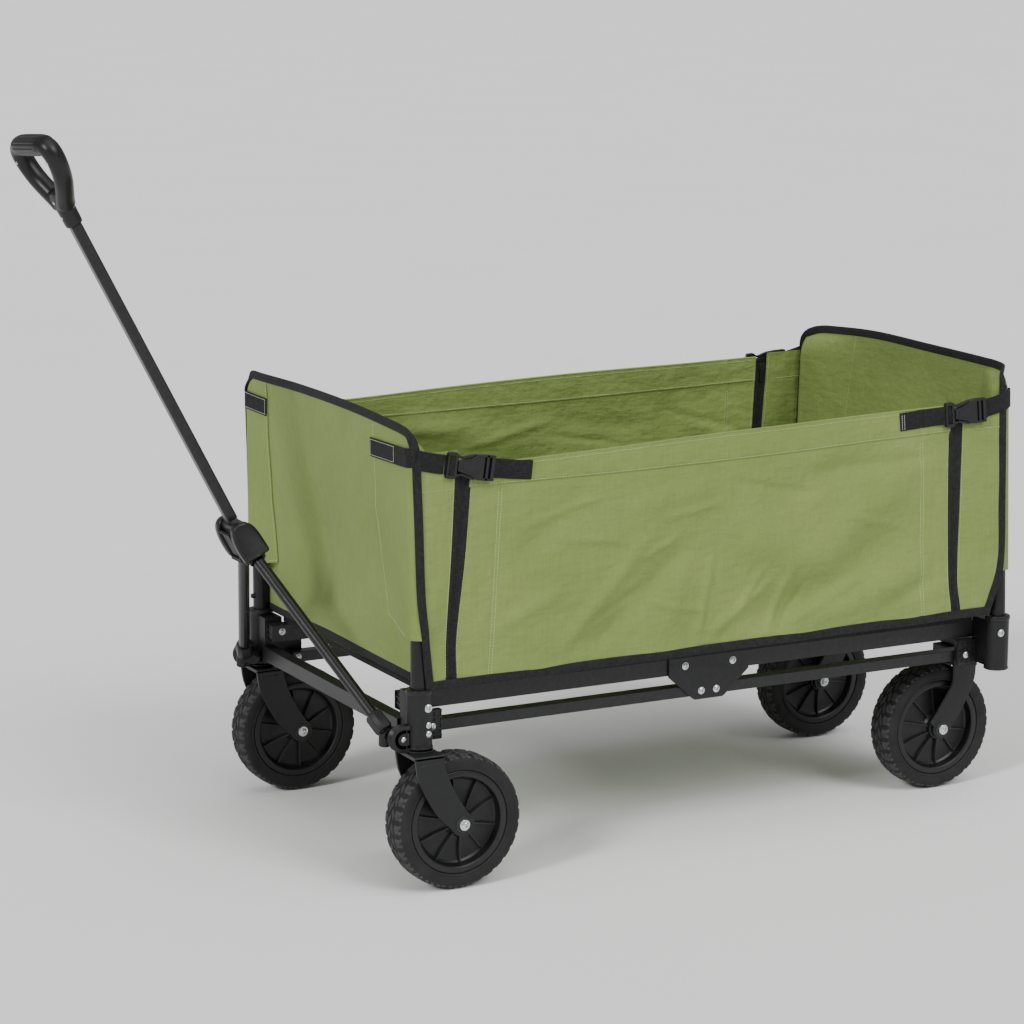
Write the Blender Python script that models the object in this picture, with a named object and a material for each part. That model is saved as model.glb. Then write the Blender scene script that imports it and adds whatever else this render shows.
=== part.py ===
"""Folding camp wagon: two end frames, hinged side rails, casters, fabric tub and pull handle.

Metres, +Z up.  The handle is at the -X end, the left side is -Y, and the wheels stand on z = 0.
Every length along X is counted from the nearer corner post, inwards (towards the middle).
"""
import math

import bmesh
import bpy
from mathutils import Matrix, Vector

# ---------------------------------------------------------------- driving sizes
FRONT_X = -0.2630          # front corner posts
HALF_LENGTH = 0.4535       # corner post to the middle of the wagon
MID_X = FRONT_X + HALF_LENGTH
REAR_X = MID_X + HALF_LENGTH
POST_Y = 0.256             # corner post axes, each side of the middle
GAP = 0.0003               # running and assembly clearance

POST_R, POST_BORE_R = 0.011, 0.0085
POST_BOTTOM, POST_TOP = 0.207, 0.585
SLEEVE_TOP = 0.604
SOCKET_R = 0.0167
SOCKET_BOTTOM, SOCKET_TOP = 0.194, 0.2674
BLOCK_Y = 0.2195           # inner face of the socket block
CROSSBAR = {"x": (-0.014, 0.004), "z": (0.2025, 0.2225)}

RAIL_Y = (0.199, 0.219)    # both rails of a side lie in this band
UPPER_Z, UPPER_H = 0.243, 0.024
LOWER_Z, LOWER_H = 0.206, 0.015
UPPER_PIN, LOWER_PIN = 0.0065, 0.0322          # hinge pins at the corner, inwards of the post
PLATE_UPPER_PIN, PLATE_LOWER_PIN = 0.0375, 0.0118   # hinge pins on the plate, from its middle
RAIL_WALL = 0.0016
PLATE_Y = (0.2195, 0.2225)
CROSS_TUBE_R = 0.008

WHEEL_R, WHEEL_HALF = 0.090, 0.023
RIM_R = 0.0683
AXLE_R = 0.004
FRONT_TRAIL, REAR_LEAD = 0.0476, 0.0398
REAR_WHEEL_Y = 0.155
CROWN_Z = (0.181, 0.1865)
LEG_IN, LEG_OUT = 0.0265, 0.0315
STEM_R, STEM_TOP = 0.006, 0.203

YOKE_PIVOT = (-0.0245, 0.2053)     # x from the front post, z
YOKE_FOOT = (-0.0355, 0.2085)
YOKE_FOOT_Y = (0.2265, 0.2435)
HUB = (-0.136, 0.432)              # x from the front post, z
HUB_BOTTOM = -0.028                 # along the handle axis, from the hub's middle
HANDLE_TILT = math.radians(27.4)
HANDLE_TUBE = (0.0290, 0.4767)     # along the handle axis, from the hub's middle
GRIP_BAR, GRIP_HALF_WIDTH = 0.5925, 0.054
GRIP_R, GRIP_TWIST = 0.0145, math.radians(8)   # the grip sits turned a little on its tube

CLOTH_BOTTOM, SIDE_TOP, END_TOP = 0.2705, 0.565, 0.612
SIDE_Y = (0.2645, 0.2685)
END_CLOTH_X = (-0.0165, -0.0125)
END_CLOTH_Y, END_CLOTH_LEAN = 0.240, 0.025   # the end panels lean in towards the floor
SLEEVE_R, SLEEVE_BOTTOM = 0.0155, 0.335
ZIP_FRONT, ZIP_REAR = 0.052, 0.077
FLOOR_Z, FLOOR_Y = (0.2555, 0.2605), 0.2185
FLOOR_EDGE_Y, FLOOR_EDGE_Z = (0.2235, 0.2640), (0.2640, 0.2680)   # cloth between floor board and side

BLACK_STEEL = (0.030, 0.031, 0.034)
BLACK_PLASTIC = (0.022, 0.023, 0.025)
RUBBER = (0.018, 0.018, 0.019)
ZINC = (0.62, 0.63, 0.65)
SAGE = (0.275, 0.342, 0.130)

SIDES = (("left", -1), ("right", 1))
ENDS = (("front", FRONT_X, 1), ("rear", REAR_X, -1))


# ---------------------------------------------------------------- shape helpers
def span(a, b):
    return (min(a, b), max(a, b))


def finish(name, bm, colour, roughness=0.5, metallic=0.0):
    """Make one named object with its own material from a bmesh."""
    bmesh.ops.recalc_face_normals(bm, faces=bm.faces)
    mesh = bpy.data.meshes.new(name)
    bm.to_mesh(mesh)
    bm.free()
    obj = bpy.data.objects.new(name, mesh)
    bpy.context.scene.collection.objects.link(obj)
    material = bpy.data.materials.new(name)
    material.use_nodes = True
    shader = material.node_tree.nodes["Principled BSDF"]
    shader.inputs["Base Color"].default_value = (*colour, 1.0)
    shader.inputs["Roughness"].default_value = roughness
    shader.inputs["Metallic"].default_value = metallic
    mesh.materials.append(material)
    return obj


def box_mesh(x, y, z):
    bm = bmesh.new()
    size = Vector((x[1] - x[0], y[1] - y[0], z[1] - z[0]))
    centre = Vector(((x[0] + x[1]) / 2, (y[0] + y[1]) / 2, (z[0] + z[1]) / 2))
    bmesh.ops.create_cube(bm, size=1.0, matrix=Matrix.Translation(centre) @ Matrix.Diagonal((*size, 1.0)))
    return bm


def prism_mesh(outline, to_world, low, high):
    """Extrude a flat outline; to_world turns (u, v, w) into a point, w running from low to high."""
    bm = bmesh.new()
    ends = [[bm.verts.new(to_world(u, v, w)) for u, v in outline] for w in (low, high)]
    bm.faces.new(ends[0])
    bm.faces.new(list(reversed(ends[1])))
    count = len(outline)
    for i in range(count):
        j = (i + 1) % count
        bm.faces.new((ends[0][j], ends[0][i], ends[1][i], ends[1][j]))
    return bm


def side_prism_mesh(outline, y):
    """A plate that lies in the X-Z plane, between two y values."""
    return prism_mesh(outline, lambda u, v, w: (u, w, v), y[0], y[1])


def rod_mesh(start, end, radius, segments=20):
    start, end = Vector(start), Vector(end)
    turn = (end - start).to_track_quat("Z", "Y").to_matrix().to_4x4()
    bm = bmesh.new()
    bmesh.ops.create_cone(bm, cap_ends=True, segments=segments, radius1=radius, radius2=radius,
                          depth=(end - start).length,
                          matrix=Matrix.Translation((start + end) / 2) @ turn)
    return bm


def revolve_mesh(profile, centre, segments):
    """Spin a closed (radius, y) loop about the Y axis through centre."""
    bm = bmesh.new()
    rings = []
    for k in range(segments):
        a = 2 * math.pi * k / segments - math.pi / 2
        rings.append([bm.verts.new((centre[0] + r * math.cos(a), centre[1] + y, centre[2] + r * math.sin(a)))
                      for r, y in profile])
    for k in range(segments):
        here, after = rings[k], rings[(k + 1) % segments]
        for i in range(len(profile)):
            j = (i + 1) % len(profile)
            bm.faces.new((here[i], here[j], after[j], after[i]))
    return bm


def combine(obj, bm, operation):
    """Apply one exact Boolean to obj with the solid in bm, and leave no helper behind."""
    bmesh.ops.recalc_face_normals(bm, faces=bm.faces)
    mesh = bpy.data.meshes.new("tool")
    bm.to_mesh(mesh)
    bm.free()
    tool = bpy.data.objects.new("tool", mesh)
    bpy.context.scene.collection.objects.link(tool)
    modifier = obj.modifiers.new("cut", "BOOLEAN")
    modifier.operation = operation
    modifier.solver = "EXACT"
    modifier.object = tool
    graph = bpy.context.evaluated_depsgraph_get()
    result = bpy.data.meshes.new_from_object(obj.evaluated_get(graph))
    obj.modifiers.clear()
    old, obj.data = obj.data, result
    bpy.data.objects.remove(tool)
    bpy.data.meshes.remove(mesh)
    name = old.name
    bpy.data.meshes.remove(old)
    result.name = name


def join(obj, *solids):
    for bm in solids:
        combine(obj, bm, "UNION")


def cut(obj, *solids):
    for bm in solids:
        combine(obj, bm, "DIFFERENCE")


def capsule_outline(a, b, ra, rb, steps=8):
    """Outline of a bar with round ends of radius ra at a and rb at b, as (x, z) points."""
    heading = math.atan2(b[1] - a[1], b[0] - a[0])
    points = []
    for centre, radius, start in ((a, ra, heading + math.pi / 2), (b, rb, heading - math.pi / 2)):
        for k in range(steps + 1):
            angle = start + math.pi * k / steps
            points.append((centre[0] + radius * math.cos(angle), centre[1] + radius * math.sin(angle)))
    return points


# ---------------------------------------------------------------- wheels and forks
def build_wheel(name, x, y):
    centre = (x, y, WHEEL_R)
    tread, shoulder, wall = WHEEL_HALF * 0.72, WHEEL_HALF * 0.96, WHEEL_HALF
    half_tyre = ((RIM_R, wall * 0.92), (WHEEL_R * 0.88, wall), (WHEEL_R * 0.96, shoulder), (WHEEL_R, tread))
    loop = [(r, w) for r, w in half_tyre] + [(r, -w) for r, w in reversed(half_tyre)]
    finish(f"{name}_tyre", revolve_mesh(loop, centre, 40), RUBBER, 0.85)
    bore, hub, web, barrel, lip = AXLE_R + 0.0006, 0.017, 0.004, 0.0605, RIM_R - GAP
    half_rim = ((bore, 0.0245), (hub, 0.0245), (hub, web), (barrel, web), (barrel, 0.0205), (lip, 0.0205))
    loop = [(r, w) for r, w in half_rim] + [(r, -w) for r, w in reversed(half_rim)]
    finish(f"{name}_rim", revolve_mesh(loop, centre, 40), BLACK_PLASTIC, 0.4)


def build_axle(name, x, y):
    head_r, head_in, head_out = 0.0072, LEG_OUT + GAP, LEG_OUT + 0.0043
    finish(name, rod_mesh((x, y - head_in, WHEEL_R), (x, y + head_in, WHEEL_R), AXLE_R, 16), ZINC, 0.3, 1.0)
    axle = bpy.data.objects[name]
    for s in (-1, 1):
        join(axle, rod_mesh((x, y + s * (head_in - 0.0001), WHEEL_R), (x, y + s * head_out, WHEEL_R), head_r, 16))


def build_fork(name, x, y, axle_x, crown_x, crown_top):
    """A crown over the wheel with a tapering leg each side, ending round the axle."""
    foot_r = 0.0135
    side = 1 if axle_x > x else -1
    outline = [(x + crown_x[0], crown_top), (x + crown_x[1], crown_top)]
    foot = [(axle_x + foot_r * math.cos(a), WHEEL_R + foot_r * math.sin(a))
            for a in (math.radians(d) for d in range(35, -216, -25))]
    lean = math.radians(18) * side
    foot = [(axle_x + (u - axle_x) * math.cos(lean) - (v - WHEEL_R) * math.sin(lean),
             WHEEL_R + (u - axle_x) * math.sin(lean) + (v - WHEEL_R) * math.cos(lean)) for u, v in foot]
    outline += [(x + crown_x[1], CROWN_Z[0] - 0.006)] + foot + [(x + crown_x[0], CROWN_Z[0] - 0.006)]
    fork = finish(name, side_prism_mesh(outline, (y - LEG_OUT, y + LEG_OUT)), BLACK_STEEL, 0.4)
    cut(fork,
        box_mesh((x - 0.2, x + 0.2), (y - LEG_IN, y + LEG_IN), (0.0, CROWN_Z[0])),
        rod_mesh((axle_x, y - 0.1, WHEEL_R), (axle_x, y + 0.1, WHEEL_R), AXLE_R + GAP, 16))


def build_swivel(name, x, y):
    """Bearing disc on the crown, a collar under the socket, and the stem that turns inside it."""
    disc, collar = (CROWN_Z[1] + GAP, 0.1895), SOCKET_BOTTOM - GAP
    stem = finish(name, rod_mesh((x, y, disc[0]), (x, y, disc[1]), 0.018, 28), BLACK_STEEL, 0.4)
    join(stem,
         rod_mesh((x, y, disc[0] + 0.001), (x, y, collar), 0.0085, 20),
         rod_mesh((x, y, disc[0] + 0.001), (x, y, STEM_TOP), STEM_R, 16))


def build_running_gear():
    for side_name, side in SIDES:
        front_axle, rear_axle = FRONT_X + FRONT_TRAIL, REAR_X - REAR_LEAD
        front_y, rear_y = side * POST_Y, side * REAR_WHEEL_Y
        build_wheel(f"front_{side_name}", front_axle, front_y)
        build_wheel(f"rear_{side_name}", rear_axle, rear_y)
        build_axle(f"front_axle_{side_name}", front_axle, front_y)
        build_axle(f"rear_axle_{side_name}", rear_axle, rear_y)
        build_fork(f"front_fork_{side_name}", FRONT_X, front_y, front_axle, (-0.021, 0.032), CROWN_Z[1])
        build_fork(f"rear_fork_{side_name}", REAR_X, rear_y, rear_axle, (-0.022, 0.017),
                   CROSSBAR["z"][0] - GAP)
        build_swivel(f"swivel_{side_name}", FRONT_X, front_y)


# ---------------------------------------------------------------- end frames
def build_socket(name, end_x, inward, side, front):
    """Moulded corner: a tube for the post, a block for the rail pin, an ear for each bracket."""
    y = side * POST_Y
    block_x = span(end_x - inward * 0.010, end_x + inward * 0.016)
    socket = finish(name, rod_mesh((end_x, y, SOCKET_BOTTOM), (end_x, y, SOCKET_TOP), SOCKET_R, 32),
                    BLACK_PLASTIC, 0.45)
    join(socket,
         box_mesh(block_x, span(side * BLOCK_Y, side * (POST_Y - 0.004)), (0.1965, 0.2620)),
         box_mesh(span(end_x + inward * 0.011, end_x + inward * 0.046),
                  span(side * BLOCK_Y, side * 0.2265), (0.1900, 0.2300)))
    if front:
        pivot = (end_x + YOKE_PIVOT[0], YOKE_PIVOT[1])
        ear_y = span(side * 0.2445, side * 0.2555)
        join(socket, side_prism_mesh(capsule_outline(pivot, (end_x, YOKE_PIVOT[1] + 0.002), 0.0140, 0.0100), ear_y))
        cut(socket,
            rod_mesh((pivot[0], side * 0.2, pivot[1]), (pivot[0], side * 0.3, pivot[1]), AXLE_R + GAP, 16),
            rod_mesh((end_x, y, 0.15), (end_x, y, STEM_TOP + GAP), STEM_R + GAP, 16))
    cut(socket, rod_mesh((end_x, y, POST_BOTTOM - GAP), (end_x, y, 0.4), POST_R + GAP, 24))


def build_post(name, x, y):
    post = finish(name, rod_mesh((x, y, POST_BOTTOM), (x, y, POST_TOP), POST_R, 24), BLACK_STEEL, 0.35, 0.2)
    cut(post, rod_mesh((x, y, POST_BOTTOM - 0.01), (x, y, POST_TOP - 0.002), POST_BORE_R, 16))


def build_end_frames():
    for end_name, end_x, inward in ENDS:
        bar_x = span(end_x + inward * CROSSBAR["x"][0], end_x + inward * CROSSBAR["x"][1])
        reach = BLOCK_Y - GAP
        bar = finish(f"{end_name}_crossbar", box_mesh(bar_x, (-reach, reach), CROSSBAR["z"]), BLACK_STEEL, 0.35, 0.2)
        cut(bar, box_mesh((bar_x[0] + RAIL_WALL, bar_x[1] - RAIL_WALL), (-0.3, 0.3),
                          (CROSSBAR["z"][0] + RAIL_WALL, CROSSBAR["z"][1] - RAIL_WALL)))
        for side_name, side in SIDES:
            build_post(f"{end_name}_post_{side_name}", end_x, side * POST_Y)
            build_socket(f"{end_name}_socket_{side_name}", end_x, inward, side, end_name == "front")


# ---------------------------------------------------------------- folding side rails
def rect_tube(name, x, y, z):
    tube = finish(name, box_mesh(x, y, z), BLACK_STEEL, 0.35, 0.2)
    cut(tube, box_mesh((x[0] - 0.01, x[1] + 0.01), (y[0] + RAIL_WALL, y[1] - RAIL_WALL),
                       (z[0] + RAIL_WALL, z[1] - RAIL_WALL)))


def build_rails():
    upper = (UPPER_PIN - 0.0145, HALF_LENGTH - PLATE_UPPER_PIN + 0.012)
    lower = (LOWER_PIN - 0.008, HALF_LENGTH - PLATE_LOWER_PIN + 0.007)
    for end_name, end_x, inward in ENDS:
        for side_name, side in SIDES:
            y = span(side * RAIL_Y[0], side * RAIL_Y[1])
            rect_tube(f"{end_name}_upper_rail_{side_name}",
                      span(end_x + inward * upper[0], end_x + inward * upper[1]), y,
                      (UPPER_Z - UPPER_H / 2, UPPER_Z + UPPER_H / 2))
            rect_tube(f"{end_name}_lower_rail_{side_name}",
                      span(end_x + inward * lower[0], end_x + inward * lower[1]), y,
                      (LOWER_Z - LOWER_H / 2, LOWER_Z + LOWER_H / 2))


def build_centre():
    half = ((0.063, 0.262), (0.063, 0.2295), (0.0245, 0.1955), (0.0215, 0.1940))
    outline = [(MID_X + u, v) for u, v in half] + [(MID_X - u, v) for u, v in reversed(half)]
    for side_name, side in SIDES:
        finish(f"centre_plate_{side_name}",
               side_prism_mesh(outline, span(side * PLATE_Y[0], side * PLATE_Y[1])), BLACK_STEEL, 0.4, 0.2)
    reach = PLATE_Y[0] - GAP
    tube = finish("centre_cross_tube", rod_mesh((MID_X, -reach, UPPER_Z), (MID_X, reach, UPPER_Z), CROSS_TUBE_R, 20),
                  BLACK_STEEL, 0.35, 0.2)
    cut(tube, rod_mesh((MID_X, -0.3, UPPER_Z), (MID_X, 0.3, UPPER_Z), CROSS_TUBE_R - RAIL_WALL, 16))


# ---------------------------------------------------------------- pull handle
def handle_point(across, along, out):
    """A point of the handle: across = y, along the handle axis from the hub, out = square to both."""
    c, s = math.cos(HANDLE_TILT), math.sin(HANDLE_TILT)
    return (FRONT_X + HUB[0] - along * s - out * c, across, HUB[1] + along * c - out * s)


def build_yoke():
    foot = (FRONT_X + YOKE_FOOT[0], YOKE_FOOT[1])
    pivot = (FRONT_X + YOKE_PIVOT[0], YOKE_PIVOT[1])
    for side_name, side in SIDES:
        bottom = Vector((foot[0], side * 0.235, foot[1]))
        top = Vector(handle_point(side * 0.0135, -0.0200, 0.0))
        tube = finish(f"yoke_tube_{side_name}", rod_mesh(bottom, top, 0.0078, 20), BLACK_STEEL, 0.35, 0.2)
        join(tube, side_prism_mesh(capsule_outline(pivot, foot, 0.0095, 0.0085),
                                   span(side * YOKE_FOOT_Y[0], side * YOKE_FOOT_Y[1])))
        above = [(-0.04, HUB_BOTTOM - GAP), (0.04, HUB_BOTTOM - GAP), (0.04, 0.05), (-0.04, 0.05)]
        cut(tube, prism_mesh(above, lambda u, v, w: handle_point(w, v, u), -0.08, 0.08))
        pin = finish(f"yoke_pin_{side_name}",
                     rod_mesh((pivot[0], side * 0.2440, pivot[1]), (pivot[0], side * 0.2560, pivot[1]), AXLE_R, 16),
                     ZINC, 0.3, 1.0)
        join(pin, rod_mesh((pivot[0], side * 0.2558, pivot[1]), (pivot[0], side * 0.2590, pivot[1]), 0.0065, 16))


def build_hub():
    """Rounded block that holds both yoke tubes and the handle tube."""
    outline = [(-0.017, -0.019), (-0.017, 0.012), (-0.008, 0.028), (0.012, 0.028), (0.019, 0.018),
               (0.019, HUB_BOTTOM), (-0.006, HUB_BOTTOM)]
    finish("yoke_hub", prism_mesh(outline, lambda u, v, w: handle_point(w, v, u), -0.031, 0.031),
           BLACK_PLASTIC, 0.4)


def build_handle_tube():
    half, corner = 0.0075, 0.0025
    outline = []
    for k, (su, sv) in enumerate(((1, 1), (-1, 1), (-1, -1), (1, -1))):
        for step in range(4):
            a = math.pi / 2 * (k + step / 3)
            outline.append((su * (half - corner) + corner * math.cos(a), sv * (half - corner) + corner * math.sin(a)))
    finish("handle_tube", prism_mesh(outline, lambda u, v, w: handle_point(u, w, v), *HANDLE_TUBE),
           BLACK_STEEL, 0.35, 0.2)


def grip_outline(inset):
    """D shape in (across, along): a round bar end, sides that draw in to the neck."""
    half = GRIP_HALF_WIDTH - inset
    top = GRIP_BAR + GRIP_R - inset
    corner = max(0.022 - inset * 0.6, 0.008)
    right = []
    for step in range(7):
        a = math.pi / 2 * (1 - step / 6)
        right.append((half - corner + corner * math.cos(a), top - corner + corner * math.sin(a)))
    return half, right


def grip_point(across, along, out):
    c, s = math.cos(GRIP_TWIST), math.sin(GRIP_TWIST)
    return handle_point(across * c - out * s, along, across * s + out * c)


def build_grip():
    neck_half, neck_start, neck_end = 0.0135, HANDLE_TUBE[1] + GAP, 0.508
    half, right = grip_outline(0.0)
    shoulder = [(half * 0.97, 0.560), (half * 0.80, 0.540), (half * 0.52, 0.522), (neck_half * 1.15, neck_end),
                (neck_half, neck_start)]
    right += shoulder
    outline = right + [(-u, v) for u, v in reversed(right)]
    grip = finish("handle_grip", prism_mesh(outline, grip_point, -0.0130, 0.0130),
                  BLACK_PLASTIC, 0.5)
    half, right = grip_outline(0.0165)
    right = [(u, min(v, GRIP_BAR - GRIP_R + 0.001)) for u, v in right if v > 0.555]
    right += [(half * 0.98, 0.562), (half * 0.72, 0.543), (half * 0.35, 0.530), (0.004, 0.527)]
    opening = [right[0]] + [p for q, p in zip(right, right[1:]) if p != q]
    opening += [(-u, v) for u, v in reversed(opening)]
    cut(grip, prism_mesh(opening, grip_point, -0.05, 0.05))


# ---------------------------------------------------------------- fabric tub
def build_corner(end_name, end_x, inward, side_name, side, zip_at):
    """Sleeve round the post with the short strip of side cloth up to the zip."""
    y = side * POST_Y
    corner = finish(f"{end_name}_corner_{side_name}",
                    rod_mesh((end_x, y, SLEEVE_BOTTOM), (end_x, y, SLEEVE_TOP), SLEEVE_R, 28), SAGE, 0.9)
    strip_x = span(end_x + inward * 0.0115, end_x + inward * (zip_at - 0.0015))
    join(corner, box_mesh(strip_x, span(side * SIDE_Y[0], side * SIDE_Y[1]), (CLOTH_BOTTOM, SIDE_TOP + 0.012)))
    cut(corner, rod_mesh((end_x, y, 0.2), (end_x, y, 0.7), POST_R + GAP, 24))


def build_cloth():
    for end_name, end_x, inward in ENDS:
        zip_at = ZIP_FRONT if end_name == "front" else ZIP_REAR
        outer, inner = END_CLOTH_X
        outline = [(end_x + inward * outer, END_TOP), (end_x + inward * inner, END_TOP),
                   (end_x + inward * (inner + END_CLOTH_LEAN), CLOTH_BOTTOM),
                   (end_x + inward * (outer + END_CLOTH_LEAN), CLOTH_BOTTOM)]
        finish(f"{end_name}_panel", side_prism_mesh(outline, (-END_CLOTH_Y, END_CLOTH_Y)), SAGE, 0.9)
        floor_x = span(end_x + inward * 0.020, end_x + inward * (HALF_LENGTH - 0.0008))
        finish(f"{end_name}_floor", box_mesh(floor_x, (-FLOOR_Y, FLOOR_Y), FLOOR_Z), SAGE, 0.9)
        for side_name, side in SIDES:
            build_corner(end_name, end_x, inward, side_name, side, zip_at)
    for side_name, side in SIDES:
        finish(f"floor_edge_{side_name}",
               box_mesh((FRONT_X + 0.020, REAR_X - 0.020), span(side * FLOOR_EDGE_Y[0], side * FLOOR_EDGE_Y[1]),
                        FLOOR_EDGE_Z), SAGE, 0.9)
        finish(f"side_panel_{side_name}",
               box_mesh((FRONT_X + ZIP_FRONT + 0.0015, REAR_X - ZIP_REAR - 0.0015),
                        span(side * SIDE_Y[0], side * SIDE_Y[1]), (CLOTH_BOTTOM, SIDE_TOP)), SAGE, 0.9)


def clear_scene():
    for obj in list(bpy.data.objects):
        bpy.data.objects.remove(obj, do_unlink=True)


clear_scene()
build_running_gear()
build_end_frames()
build_rails()
build_centre()
build_yoke()
build_hub()
build_handle_tube()
build_grip()
build_cloth()
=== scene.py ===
"""Looks of the folding camp wagon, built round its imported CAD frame.  Metres, +Z up, handle at -X.

Places near an end are given as d, the distance from that end's corner posts towards the middle.
"""
import math

import bmesh
import bpy
from mathutils import Matrix, Vector, noise


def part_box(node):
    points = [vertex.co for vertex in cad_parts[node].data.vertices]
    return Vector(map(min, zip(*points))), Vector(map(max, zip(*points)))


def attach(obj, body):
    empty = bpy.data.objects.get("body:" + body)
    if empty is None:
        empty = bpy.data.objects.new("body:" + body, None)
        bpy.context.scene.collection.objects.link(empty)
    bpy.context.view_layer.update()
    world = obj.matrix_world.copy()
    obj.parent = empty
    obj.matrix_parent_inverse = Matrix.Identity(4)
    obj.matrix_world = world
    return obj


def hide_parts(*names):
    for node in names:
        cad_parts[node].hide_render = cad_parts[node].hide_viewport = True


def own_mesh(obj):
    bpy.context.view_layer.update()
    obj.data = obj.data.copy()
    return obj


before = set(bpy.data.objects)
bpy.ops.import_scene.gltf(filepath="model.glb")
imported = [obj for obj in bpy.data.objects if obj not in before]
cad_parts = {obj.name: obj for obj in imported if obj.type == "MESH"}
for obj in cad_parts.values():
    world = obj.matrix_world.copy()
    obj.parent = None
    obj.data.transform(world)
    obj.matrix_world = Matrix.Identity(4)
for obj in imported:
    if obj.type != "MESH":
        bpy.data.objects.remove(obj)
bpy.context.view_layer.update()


# ---------------------------------------------------------------- places taken from the frame
def middle(node):
    """Centre of a CAD node's box."""
    low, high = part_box(node)
    return (low + high) / 2


SIDES = {"left": -1, "right": 1}
ENDS = ("front", "rear")
INWARD = {"front": 1, "rear": -1}
END_X = {"front": middle("front_post_left").x, "rear": middle("rear_post_left").x}
LENGTH = END_X["rear"] - END_X["front"]
MID_X = (END_X["front"] + END_X["rear"]) / 2
POST_Y = middle("front_post_right").y
SIDE_Y = middle("side_panel_right").y

# ---------------------------------------------------------------- driving sizes
CAMERA_DISTANCE, CAMERA_AZIMUTH, CAMERA_ELEVATION, CAMERA_ROLL = 4.3316, -27.683, 11.353, 0.117
CAMERA_TARGET = (0.0049, 0.0, 0.429)
CAMERA_LENS = 110.49

CLOTH_THICK = 0.0013
WEBBING_W, WEBBING_T = 0.025, 0.002
BINDING_W, BINDING_T = 0.0115, 0.0028
TOP_BINDING_W = 0.012
STITCH_PITCH, STITCH_LENGTH, STITCH_R = 0.004, 0.0027, 0.00042
ZIP_STITCH_GAP, STITCH_INSET = 0.0026, 0.012
SLEEVE_BOTTOM, CLOSING_H = 0.335, 0.04
SLEEVE_R = {"front": 0.0158, "rear": 0.0142}
STRAP_LIFT = 0.0022
HANDLE_TILT = math.radians(27.4)
HUB_D, HUB_Z = -0.136, 0.432
GRIP_BAR, GRIP_TWIST = 0.5925, math.radians(8)
SKIN_HALF, GROOVES = 0.0375, 14         # half length of the grip's grooved skin, and its grooves
POST_R = 0.011
UPPER_PIN_Z, LOWER_PIN_Z = 0.243, 0.206
BRACKET_D, BRACKET_Z, BRACKET_Y = 0.0322, 0.208, 0.2195
PLATE_OUTSIDE, RAIL_INSIDE = 0.2224, 0.1988      # |y| of the faces that the bolts sit on
CROWN_Z = 0.1812
YOKE_FOOT = (-0.0355, 0.235, 0.2085)    # d, |y| and z
FLAP_BOTTOM_FROM, FLAP_BOTTOM_TO = 0.0085, 0.879
END_HEM_Y = 0.264
THREAD_LIFT = 0.0001

# (z, value) lines: middle and half width of the zips, counted from the nearer post
ZIP_MIDDLE = {
    "front": ((0.27, 0.0405), (0.285, 0.04), (0.33, 0.04), (0.44, 0.0505), (0.542, 0.0575),
              (0.58, 0.059)),
    "rear": ((0.27, 0.079), (0.288, 0.08), (0.33, 0.085), (0.44, 0.0835), (0.541, 0.0805),
             (0.58, 0.0795)),
}
ZIP_HALF = ((0.27, 0.0066), (0.33, 0.006), (0.44, 0.0082), (0.58, 0.0098))
# (z, d) and (z, y) of the tub's corner edge, where the end cloth meets the side cloth
CORNER_D = {
    "front": ((0.268, 0.01), (0.335, 0.002), (0.388, -0.004), (0.493, -0.007), (0.557, -0.009),
              (0.6, -0.01)),
    "rear": ((0.272, 0.031), (0.3, 0.019), (0.341, 0.007), (0.45, 0.0042), (0.557, 0.0032),
             (0.6, 0.0024)),
}
CORNER_Y = {
    "front": ((0.268, 0.2668), (0.335, 0.27), (0.35, 0.2718), (0.557, 0.27), (0.6, 0.2695)),
    "rear": ((0.272, 0.2668), (0.3, 0.2672), (0.341, 0.2698), (0.557, 0.2706), (0.6, 0.2706)),
}
# (z, radius) round the post of the tub's inner layer
INNER_R = {
    "front": ((0.268, 0.0132), (0.33, 0.0135), (0.35, 0.0142), (0.6, 0.0142)),
    "rear": ((0.272, 0.029), (0.3, 0.02), (0.35, 0.013), (0.6, 0.013)),
}
# (z, d) of the end cloth between its sleeves
LEAN = {
    "front": ((0.268, 0.011), (0.34, 0.005), (0.45, -0.005), (0.61, -0.0118)),
    "rear": ((0.272, 0.027), (0.34, 0.015), (0.45, 0.001), (0.61, -0.0118)),
}
# (z, |y|) of the seam where each sleeve starts
SEAM = {
    ("front", "left"): ((0.27, 0.164), (0.61, 0.143)),
    ("front", "right"): ((0.27, 0.198), (0.61, 0.198)),
    ("rear", "left"): ((0.27, 0.198), (0.61, 0.198)),
    ("rear", "right"): ((0.27, 0.16), (0.61, 0.138)),
}
# (y, z) of the top edge of the end cloths, and (|y|, drop) of its rounded shoulders
END_TOP = {
    "front": ((-0.242, 0.603), (-0.2134, 0.6055), (-0.0775, 0.611), (0.0834, 0.6118), (0.2132, 0.6088),
              (0.242, 0.6084)),
    "rear": ((-0.25, 0.619), (-0.2325, 0.6212), (-0.064, 0.6235), (0.093, 0.6245), (0.2366, 0.616),
             (0.25, 0.6135)),
}
SHOULDER = {
    "front": ((0.242, 0.0), (0.25, 0.0022), (0.2575, 0.007), (0.2645, 0.0155), (0.2698, 0.026)),
    "rear": ((0.25, 0.0), (0.257, 0.002), (0.264, 0.0065), (0.2695, 0.015), (0.2712, 0.027)),
}
PULL_IN, PULL_FROM = 0.016, 0.27       # the rear corners lean together by this much at the top
SIDE_TOP = ((0.0, 0.553), (0.15, 0.556), (0.437, 0.566), (0.73, 0.5715), (0.907, 0.574))
SIDE_HEM = ((0.0, 0.527), (0.438, 0.5295), (0.812, 0.5376), (0.907, 0.54))
SIDE_SEAMS = (((0.27, 0.0935), (0.56, 0.112)), ((0.27, 0.77), (0.56, 0.766)))
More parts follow.
